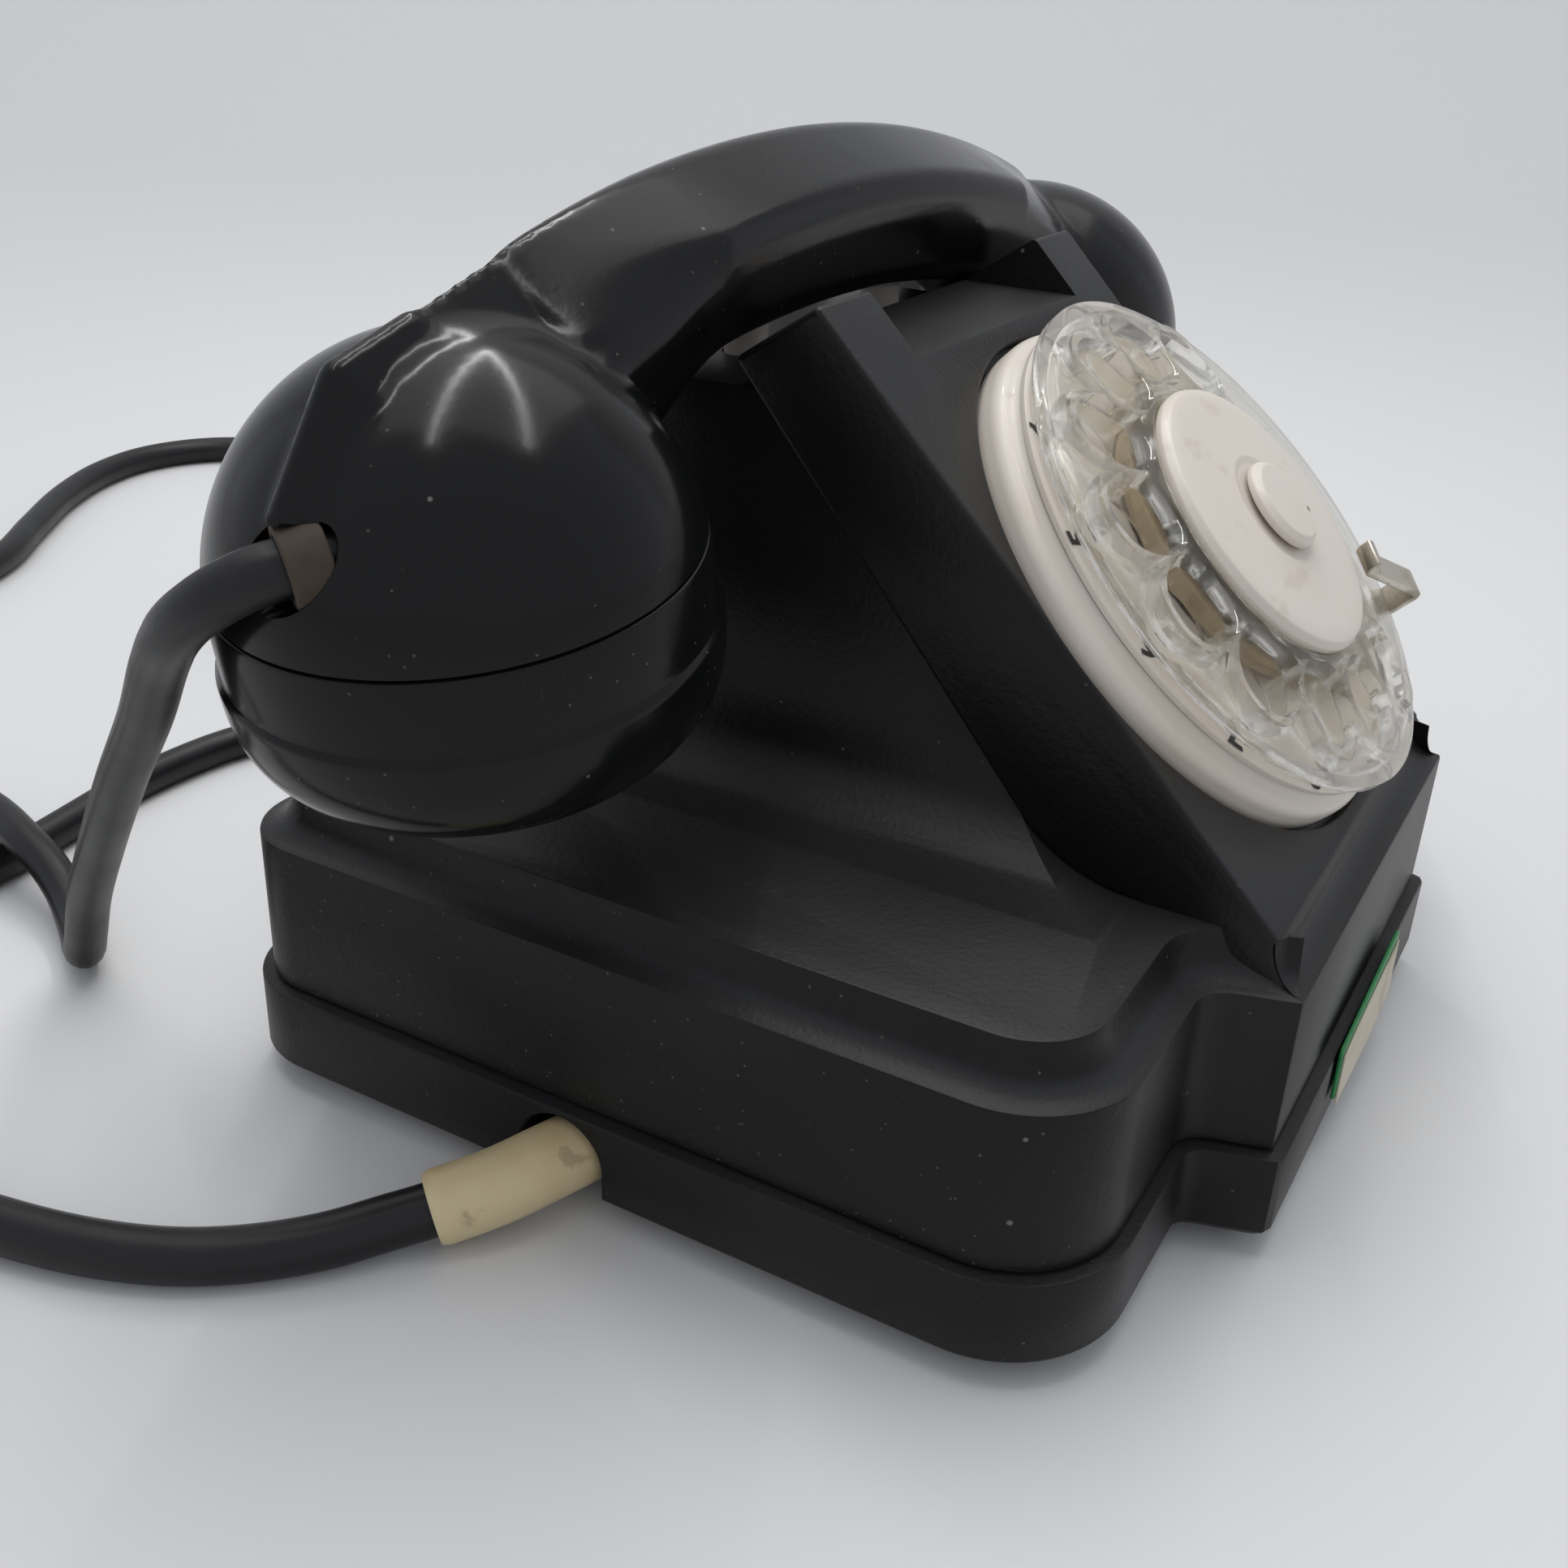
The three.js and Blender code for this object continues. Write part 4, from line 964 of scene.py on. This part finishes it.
def handset_shape(x, y, z):
    """Signed distance, roughly, to the handset's moulding: grip, crown, rib and both domes."""
    half = np.abs(y - GRIP_Y)
    rise = z - (BACK_TOP - (x - BACK_TOP_X) ** 2 / (2 * BACK_RADIUS))
    spread = np.maximum(0, np.abs(x) - 36) / 31
    low = -GRIP_DEPTH - np.where(x < 0, 13, 8) * spread**2
    thin = np.clip(1 - (np.abs(x) - 45) / 40, 0.3, 1)
    drop_by = 0.4 + 0.6 * thin
    middle, edge = (6 * thin, -2.2 * drop_by), (12 * thin, -5.4 * drop_by)
    roof = soft_max(beyond(half, rise, (0.5 + 0.8 * thin, 0), middle), beyond(half, rise, middle, edge),
                    1.2)
    roof = soft_max(soft_max(roof, rise, 0.5), beyond(half, rise, edge, (13.5, -12)), 1.2)
    tuck = beyond(half, rise, (13.5, -12), (11, low + 5))
    under = soft_max(beyond(half, rise, (11, low + 5), (8.8, low)), low - rise, 2)
    grip = soft_max(soft_max(roof, soft_max(tuck, under, 2), 2), np.abs(x) - 74, 3)
    crown = soft_max(soft_max(roof, -rise - 9, 1), np.maximum(x - 84, -93 - x), 2)
    above = soft_max(beyond(-x, z, (84, 114.17), (99.3, 110.2)),
                     beyond(-x, z, (99.3, 110.2), (108.4, 97.1)), 0.8)
    rib = soft_max(soft_max(above, (half - 1 + 0.5 * above) * 0.89, 1), soft_max(-above - 8, 96 - z, 1), 1)
    rib = soft_max(rib, x + 86, 2)
    domes = [np.sqrt((x - hand * CUP_X) ** 2 + half**2 + (z - CUP_Z) ** 2) - CUP_RADIUS for hand in (-1, 1)]
    body = soft_min(soft_min(grip, crown, 1), rib, 1)
    return soft_min(body, np.minimum(*domes), 1.8)


class AddHandset(bpy.types.Operator):
    """Adds the handset: the moulded body, both screwed caps and the cord bush"""

    bl_idname = "telephone.add_handset"
    bl_label = "Handset"

    def execute(self, context):
        finish = FINISH["handset"]
        step = context.scene.telephone_handset.mesh_step / MM
        body = grow("handset_moulding", handset_shape, (-113, -7, 50), (113, 57, 130), step, finish)
        for side in (-1, 1):
            combine(body, disc("seat", 29.8, -40, CUP_SEAM + 0.12, cup_place(side), 128), "DIFFERENCE", 40)
        mouth = [(0, -9), (4.6, -9), (4.6, 6), (5, 8), (7, 14), (0, 14)]
        combine(body, turned("bore", mouth, None, BUSH_PLACE, 64), "DIFFERENCE", 40)
        dress(body, finish)
        finished(body, "handset", "bakelite", "handset_body")
        deep, bead, shell = 25, 29, 2.8
        curve = [(bead * math.sqrt(max(0, 1 - (k / 24) ** 2.7)),
                  -6.9 - (deep - 6.9) * k / 24) for k in range(25)]
        curve = [(r, z) for r, z in curve if r > 12] + [(9, -24.6), (0, -24.9)]
        rim = CUP_SEAM - 0.15
        outside = [(0, -deep + 0.1), *curve[::-1][1:], (bead, -6.3), (bead - 0.1, -5.9), (28.45, -5.4),
                   (28.3, -4.6), (CUP_RADIUS, rim - 0.5), (CUP_RADIUS - 0.15, rim - 0.12),
                   (CUP_RADIUS - 0.5, rim)]
        inside = [(CUP_RADIUS - shell, rim), (CUP_RADIUS - shell, -7), (25, -13), (22, -17), (17, -20),
                  (0, -22)]
        for name, side in (("transmitter", -1), ("receiver", 1)):
            cap = turned(f"{name}_screw_cap", outside + inside, finish, cup_place(side), 160, 30)
            finished(cap, "handset", "bakelite", f"{name}_cap")
            # Each cap gets near-black rings where its sound holes would be: painted hole shade, the cap
            # itself is not pierced.
            for label, circle, count, proud, sunk in (("inner", 4.5, 6, 0.06, 0.5),
                                                      ("outer", 9.5, 12, 0.02, 0.6)):
                hole_shade_rings = hole_tubes(f"{name}_sound_hole_shade_{label}", FINISH["print"], cup_place(side), 0.12,
                                   1.1, -deep - proud, -deep + sunk, circle, 0, 360 / count, count)
                finished(hole_shade_rings, "handset", "bakelite")
        bush = turned("cord_grommet", washer(3.2, 4.5, -4, 0.6, 0.5), FINISH["grime"], BUSH_PLACE, 64)
        finished(bush, "handset", "rubber", "cord_bush")
        return {"FINISHED"}


# ------------------------------------------------------------------ cords
LINE_ROUTE = [
    (-74, 8.6, 8.2), (-78, 10, 8.2), (-84, 12, 8.2), (-90.5, 15.6, 7), (-96.7, 20.9, 5.3),
    (-100.8, 24.4, 4.6), (-106.9, 29.2, 3.9),
    *((x, y, LINE_LIE) for x, y in (
        (-113.2, 35.6), (-118.4, 42.8), (-122.6, 52.3), (-125.8, 64.5), (-129.4, 88), (-132.6, 113),
        (-134.8, 140), (-134, 168), (-127, 196), (-112, 220), (-88, 238), (-60, 247), (-30, 251), (0, 256),
        (30.7, 266), (51.6, 280.3), (73.8, 295.1), (95, 304.5), (113, 306.5), (129, 300), (139, 287),
        (142, 270), (138, 251), (128, 235), (113, 223), (96, 216.5))),
]
HAND_ROUTE = [
    (22, 66, 7.9), (22, 73, 7.4), (22, 82, 5), (22, 94, 3.4),
    *((x, y, HAND_LIE) for x, y in (
        (20.6, 109), (15.5, 124), (5, 136), (-10.8, 143.6), (-27.4, 145.5), (-37.3, 145), (-47.8, 143.3),
        (-57.7, 141.7), (-67.1, 140.4), (-86, 142), (-100, 149.5), (-109.5, 162), (-112.5, 177),
        (-108, 191), (-97, 201), (-83, 204), (-70, 198), (-61.5, 186))),
    (-58.6, 172, 3.9), (-59.4, 160, 6.6), (-61.6, 150, 9.4), (-64.2, 141, 10.2), (-66.6, 133, 9.8),
    (-68.2, 126, 8.4), (-70.6, 119, 6), (-74.6, 111.6, 4.2), (-78.7, 105.4, 4.6), (-80.6, 101.6, 9.9),
    (-83.6, 95.4, 19.6), (-89.6, 82.7, 34.9), (-96.2, 68, 51.7), (-102.1, 54.4, 66.3),
    (-107.2, 44.6, 76.9), (-110.7, 37.2, 83.6), (-111.4, 31.3, 88), (-109.6, 27.1, 90.7),
    (-106.7, 24.8, 91.6), (-104.3, 23.1, 92.2), (-101.9, 21.4, 92.8),
]


def ease(value):
    value = min(1, max(0, value))
    return value * value * (3 - 2 * value)


def coil_path():
    """Three and a half turns in two layers, wound anticlockwise, leaving at the front."""
    made = []
    for degrees in range(90, 1351, 9):
        radius = 49.3 - 7.3 * ease((degrees - 90) / 90) - 7 * ease((degrees - 450) / 90)
        radius += 7 * ease((degrees - 1000) / 150)
        height = LINE_LIE + 7.1 * ease((degrees - 720) / 150)
        if degrees > 1230:
            turn = math.pi / 2 * ease((degrees - 1230) / 120)
            radius, height = 42 + 7.3 * math.sin(turn), LINE_LIE + 7.1 * math.cos(turn)
        angle = math.radians(degrees)
        made.append((COIL_X + radius * math.cos(angle), COIL_Y + radius * math.sin(angle), height))
    return made


def cord_curve(name, line, diameter, material):
    curve = bpy.data.curves.new(name, "CURVE")
    curve.dimensions = "3D"
    spline = curve.splines.new("POLY")
    spline.points.add(len(line) - 1)
    for point, here in zip(spline.points, line):
        point.co = (*(here * MM), 1)
    spline.use_smooth = True
    curve.bevel_depth, curve.bevel_resolution, curve.use_fill_caps = diameter / 2, 6, True
    curve.materials.append(material)
    return linked(name, curve)


class AddCords(bpy.types.Operator):
    """Adds the line cord with its sleeve and plug, and the cord to the handset"""

    bl_idname = "telephone.add_cords"
    bl_label = "Cords"

    def execute(self, context):
        sizes = context.scene.telephone_cords
        plug = self.add_plug()
        line = smooth_path([*LINE_ROUTE, *coil_path(), (93, 116.7, 3.75), (110.7, 116.7, 4)], 2)
        lead = cord_curve("line_lead", line, sizes.line_diameter, FINISH["rubber"])
        sleeve = pipe("sleeve_tube", smooth_path(LINE_ROUTE[1:5], 1), 4.2, 4.9, FINISH["cream"])
        finished(sleeve, "phone", "cream", "line_cord_sleeve")
        finished(lead, "phone", "rubber", "line_cord", "line_cord_coil", "line_cord_tail")
        length_of(line) * MM
        line = smooth_path(HAND_ROUTE, 1.5)
        lead = cord_curve("handset_lead", line, sizes.handset_diameter, FINISH["rubber"])
        mesh = plain_mesh(lead)
        bpy.data.objects.remove(lead)
        lead = add_object("handset_lead", mesh, FINISH["rubber"], 60)
        outward(lead)
        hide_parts("handset_cord")
        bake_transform(lead)
        length_of(line) * MM
        return {"FINISHED"}

    def add_plug(self):
        x, y, z = PLUG_PLACE
        face = soften([(-13, -7.4), (13, -7.4), (13, 7.4), (-13, 7.4)], 3.6, True, 6)
        levels = [(-17, -6.2), (-16.9, -5.6), (-14, -4.6), (-8, -1.4), (-4, -0.3), (0, 0), (14, 0),
                  (16, -0.25), (16.8, -0.9), (17, -1.8)]
        groove, core = [(9, 0.4), (10, 0.4)], [(8, -0.5), (11, -0.5)]
        made = []
        for name, sections in (("plug_body", levels), ("band", groove), ("core", core)):
            rings = [[(x + at, y + u, z + v) for u, v in offset(face, out)] for at, out in sections]
            made.append(skin_rings(name, rings, FINISH["rubber"]))
            outward(made[-1])
        body, band, core = made
        combine(band, core, "DIFFERENCE")
        combine(body, band, "DIFFERENCE")
        dress(body, FINISH["rubber"])
        finished(body, "phone", "rubber", "line_plug")
        pins = []
        for side in (-1, 1):
            place = Matrix.Translation((x + 17, y + side * 6.5, z)) @ Matrix.Rotation(math.pi / 2, 4, "Y")
            pin = turned(f"plug_pin_{side + 2}",
                         [(0, -1), (2, -1), (2, 12.2), (1.7, 13.2), (1, 13.8), (0, 14)], FINISH["brass"],
                         place, 48)
            pins.append(finished(pin, "phone", "brass"))
        return [body, *pins]


# ------------------------------------------------------------------ small pieces
class AddFittings(bpy.types.Operator):
    """Adds the two cradle plungers and the number card in its holder"""

    bl_idname = "telephone.add_fittings"
    bl_label = "Plungers and number card"

    def execute(self, context):
        self.add_card()
        for name in ("left", "right"):
            low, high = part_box(f"hook_plunger_{name}")
            middle, bottom, top = (low[0] + high[0]) / 2 / MM, low[2] / MM, high[2] / MM
            place = Matrix.Translation((middle, GRIP_Y, 0))
            profile = soften([(0, bottom), (3, bottom), (3, top - 1), (2, top), (0, top)], 0.5, False, 4)
            plunger = turned(f"plunger_{name}", profile, FINISH["ivory"], place, 64)
            finished(plunger, "hook", "ivory", f"hook_plunger_{name}")
        return {"FINISHED"}

    def add_card(self):
        flat = Matrix.Translation((1, -PEDESTAL_FRONT - PROUD - 0.3, 13.5))
        flat = flat @ Matrix.Rotation(math.radians(-4), 4, "Y") @ Matrix.Rotation(math.pi / 2, 4, "X")
        plate = soften([(-17, -4.5), (17, -4.5), (17, 4.5), (-17, 4.5)], 1.4, True, 6)
        rings = [[(a, b, h) for a, b in offset(plate, out)]
                 for h, out in ((0.02, -0.15), (0.15, 0), (0.42, 0), (0.58, -0.15))]
        backing = skin_rings("card_holder", rings, FINISH["green"], flat)
        outward(backing)
        finished(backing, "phone", "green", "card_backing")
        columns, rows = 33, 11
        points, faces = [], []
        for high in (0, 1):
            for i in range(columns):
                for k in range(rows):
                    u, v = i / (columns - 1), k / (rows - 1)
                    bow = 0.28 * math.sin(math.pi * u) * (1 - v) + 0.5 * max(0, 0.3 - v) * u
                    points.append((-16 + 32.5 * u, -5.5 + 8.5 * v + 0.25 * math.sin(5 * u), 0.64 + bow
                                   + 0.2 * high))

        def at(high, i, k):
            return (high * columns + i) * rows + k

        for i in range(columns - 1):
            for k in range(rows - 1):
                faces += [(at(h, i, k), at(h, i + 1, k), at(h, i + 1, k + 1), at(h, i, k + 1)) for h in (0,
                                                                                                         1)]
            faces += [(at(0, i, k), at(0, i + 1, k), at(1, i + 1, k), at(1, i, k)) for k in (0, rows - 1)]
        for k in range(rows - 1):
            faces += [(at(0, i, k), at(0, i, k + 1), at(1, i, k + 1), at(1, i, k)) for i in (0,
                                                                                             columns - 1)]
        card = add_mesh("card_sheet", points, faces, FINISH["paper"], flat)
        outward(card)
        finished(card, "phone", "paper", "number_card")


class DressFrame(bpy.types.Operator):
    """Gives every part that keeps its plain solid the finish of its material slot"""

    bl_idname = "telephone.dress_frame"
    bl_label = "Inner parts"

    def execute(self, context):
        slots = {part["node"]: part["material_slot"] for part in frame["record"]["subparts"]}
        for node, piece in frame["nodes"].items():
            dress(piece, FINISH[slots[node]])
        return {"FINISHED"}


# ------------------------------------------------------------------ stage
class AddStage(bpy.types.Operator):
    """Adds the pale floor, the soft studio lights and the camera"""

    bl_idname = "telephone.add_stage"
    bl_label = "Studio stage"

    def execute(self, context):
        sizes = context.scene.telephone_stage
        self.add_camera()
        self.add_floor()
        place, aim = Vector((0.75, 0.5, 2.1)), Vector((0.06, 0.1, 0))
        toward = (place - aim).to_track_quat("Z", "Y").to_matrix().to_4x4()
        self.add_light("overhead_light", place, toward, (2.6, 2.6), sizes.soft_light, (1.0, 0.99, 0.97))
        self.add_strip("strip_light_a", (-204, 17, 500), (273, 224, 500), sizes.strip_light)
        self.add_strip("strip_light_b", (273, 224, 500), (-12, -180, 500), sizes.strip_light)
        world = bpy.data.worlds.new("studio_air")
        world.use_nodes = True
        air = world.node_tree.nodes["Background"]
        air.inputs["Color"].default_value = (0.93, 0.95, 1.0, 1)
        air.inputs["Strength"].default_value = sizes.world_light
        context.scene.world = world
        context.scene.view_settings.view_transform = "Standard"
        return {"FINISHED"}

    def add_camera(self):
        camera = bpy.data.cameras.new("camera")
        camera.lens, camera.sensor_width, camera.clip_start = FOCAL_LENGTH, SENSOR, 0.01
        holder = linked("camera", camera)
        yaw, level = CAMERA_YAW, math.cos(CAMERA_PITCH)
        back = Vector((math.sin(yaw) * level, -math.cos(yaw) * level, math.sin(CAMERA_PITCH)))
        right = (-back).cross(Vector((0, 0, 1))).normalized()
        up = right.cross(-back)
        across_frame = right * math.cos(CAMERA_ROLL) + up * math.sin(CAMERA_ROLL)
        up_frame = up * math.cos(CAMERA_ROLL) - right * math.sin(CAMERA_ROLL)
        turn = Matrix((across_frame, up_frame, back)).transposed().to_4x4()
        holder.matrix_world = Matrix.Translation(CAMERA_PLACE) @ turn
        bpy.context.scene.camera = holder

    def add_floor(self):
        back, side, rise = 1.7, 2.6, 0.8
        profile = [(-1.6, 0)] + arc(back - rise, rise, rise, -90, 0, 24) + [(back, 2.4)]
        heading, aside = Vector((0.876, 0.481, 0)), Vector((-0.481, 0.876, 0))
        points = []
        for along, up in profile:
            for sideways in (-side, side):
                spot = heading * along + aside * sideways
                points.append((spot.x / MM, spot.y / MM, up / MM))
        faces = [(2 * i, 2 * i + 2, 2 * i + 3, 2 * i + 1) for i in range(len(profile) - 1)]
        add_mesh("studio_floor", points, faces, FINISH["studio"], None, 60)

    def add_light(self, name, place, turn, size, power, colour=(1, 1, 1)):
        lamp = bpy.data.lights.new(name, "AREA")
        lamp.shape, lamp.size, lamp.size_y = "RECTANGLE", *size
        lamp.energy, lamp.color = power, colour
        linked(name, lamp).matrix_world = Matrix.Translation(place) @ turn

    def add_strip(self, name, start, stop, power):
        a, b = Vector(start) * MM, Vector(stop) * MM
        turn = Matrix.Rotation(math.atan2(b.y - a.y, b.x - a.x), 4, "Z")
        self.add_light(name, (a + b) / 2, turn, ((b - a).length, 0.009), power)


# ------------------------------------------------------------------ settings
class CaseSettings(bpy.types.PropertyGroup):
    edge_radius: FloatProperty(
        name="Edge radius", description="Rounding of the moulded edges", default=0.0008, min=0.0003,
        max=0.0015, unit="LENGTH", subtype="DISTANCE")
    bakelite: FloatVectorProperty(
        name="Bakelite", description="Colour of the case and the handset", default=(0.0045, 0.0048, 0.005),
        size=3, subtype="COLOR", min=0, max=1)
    sheen: FloatProperty(
        name="Case roughness", description="How matt the case is", default=0.36, min=0, max=1,
        subtype="FACTOR")


class DialSettings(bpy.types.PropertyGroup):
    digit_height: FloatProperty(
        name="Digit height", description="Height of the printed digits", default=0.004, min=0.002,
        max=0.005, unit="LENGTH", subtype="DISTANCE")
    ivory: FloatVectorProperty(
        name="Ivory", description="Colour of the dial case and cap", default=(0.66, 0.605, 0.54), size=3,
        subtype="COLOR", min=0, max=1)


class HandsetSettings(bpy.types.PropertyGroup):
    mesh_step: FloatProperty(
        name="Mesh step", description="Size of the faces that the moulding is built from", default=0.0008,
        min=0.0006, max=0.002, unit="LENGTH", subtype="DISTANCE")


class CordSettings(bpy.types.PropertyGroup):
    line_diameter: FloatProperty(
        name="Line cord", description="Thickness of the line cord", default=0.007, min=0.005, max=0.0072,
        unit="LENGTH", subtype="DISTANCE")
    handset_diameter: FloatProperty(
        name="Handset cord", description="Thickness of the handset cord", default=0.0062, min=0.004,
        max=0.0064, unit="LENGTH", subtype="DISTANCE")
    rubber: FloatVectorProperty(
        name="Rubber", description="Colour of the cords", default=(0.006, 0.0063, 0.007), size=3,
        subtype="COLOR", min=0, max=1)


class StageSettings(bpy.types.PropertyGroup):
    soft_light: FloatProperty(
        name="Soft light", description="Power of the overhead light", default=21, min=0, max=500,
        subtype="POWER", unit="POWER")
    strip_light: FloatProperty(
        name="Strip lights", description="Power of each bright strip overhead", default=0.45, min=0, max=50,
        subtype="POWER", unit="POWER")
    world_light: FloatProperty(
        name="Room light", description="Brightness of the light from all round", default=0.67, min=0, max=5)


SETTINGS = {"case": CaseSettings, "dial": DialSettings, "handset": HandsetSettings, "cords": CordSettings,
            "stage": StageSettings}
OPERATORS = (AddStage, AddCords, AddCase, AddTray, AddDial, AddHandset, AddFittings, DressFrame)
FINISH = {}


class TelephonePanel(bpy.types.Panel):
    bl_idname = "VIEW3D_PT_telephone"
    bl_label = "Telephone"
    bl_space_type = "VIEW_3D"
    bl_region_type = "UI"
    bl_category = "Telephone"

    def draw(self, context):
        for name, group in SETTINGS.items():
            settings = getattr(context.scene, f"telephone_{name}")
            for key in group.__annotations__:
                self.layout.prop(settings, key)
        for operator in OPERATORS:
            self.layout.operator(operator.bl_idname)


def register():
    for kind in (*SETTINGS.values(), *OPERATORS, TelephonePanel):
        bpy.utils.register_class(kind)
    for name, group in SETTINGS.items():
        setattr(bpy.types.Scene, f"telephone_{name}", PointerProperty(type=group))


def unregister():
    for name in SETTINGS:
        delattr(bpy.types.Scene, f"telephone_{name}")
    for kind in (TelephonePanel, *OPERATORS, *SETTINGS.values()):
        bpy.utils.unregister_class(kind)


def make_finishes(scene):
    case, dial, cords = scene.telephone_case, scene.telephone_dial, scene.telephone_cords
    FINISH["bakelite"] = case_bakelite(tuple(case.bakelite), case.sheen)
    FINISH["handset"] = handled_bakelite(tuple(case.bakelite))
    FINISH["ivory"] = aged_ivory(tuple(dial.ivory))
    FINISH["clear"] = clear_acrylic()
    FINISH["nickel"] = plated_metal("nickel", (0.62, 0.58, 0.5), (0.2, 0.16, 0.1))
    FINISH["brass"] = plated_metal("brass", (0.66, 0.46, 0.2), (0.24, 0.14, 0.06))
    FINISH["steel"] = plated_metal("steel", (0.5, 0.51, 0.52), (0.22, 0.2, 0.18), 0.36)
    FINISH["copper"] = painted("copper", (0.36, 0.13, 0.06), 0.35)
    FINISH["rubber"] = cord_rubber(tuple(cords.rubber))
    FINISH["cream"] = cream_sleeve((0.6, 0.5, 0.3))
    FINISH["paper"] = card_paper((0.6, 0.55, 0.45))
    FINISH["green"] = painted("green", (0.01, 0.2, 0.05), 0.4)
    # Near-black finish for the printed digits, and for the painted shade of the caps' sound holes.
    FINISH["print"] = painted("print", (0.01, 0.01, 0.01), 0.5)
    FINISH["grime"] = painted("grime", (0.045, 0.032, 0.02), 0.75)
    FINISH["amber"] = painted("amber", (0.42, 0.34, 0.22), 0.4)
    FINISH["studio"] = studio_paper((0.68, 0.68, 0.678))


def main():
    register()
    make_finishes(bpy.context.scene)
    for name in ("add_stage", "add_cords", "add_case", "add_tray", "add_dial", "add_handset",
                 "add_fittings", "dress_frame"):
        getattr(bpy.ops.telephone, name)()
    bpy.context.view_layer.update()


if __name__ == "__main__":
    main()
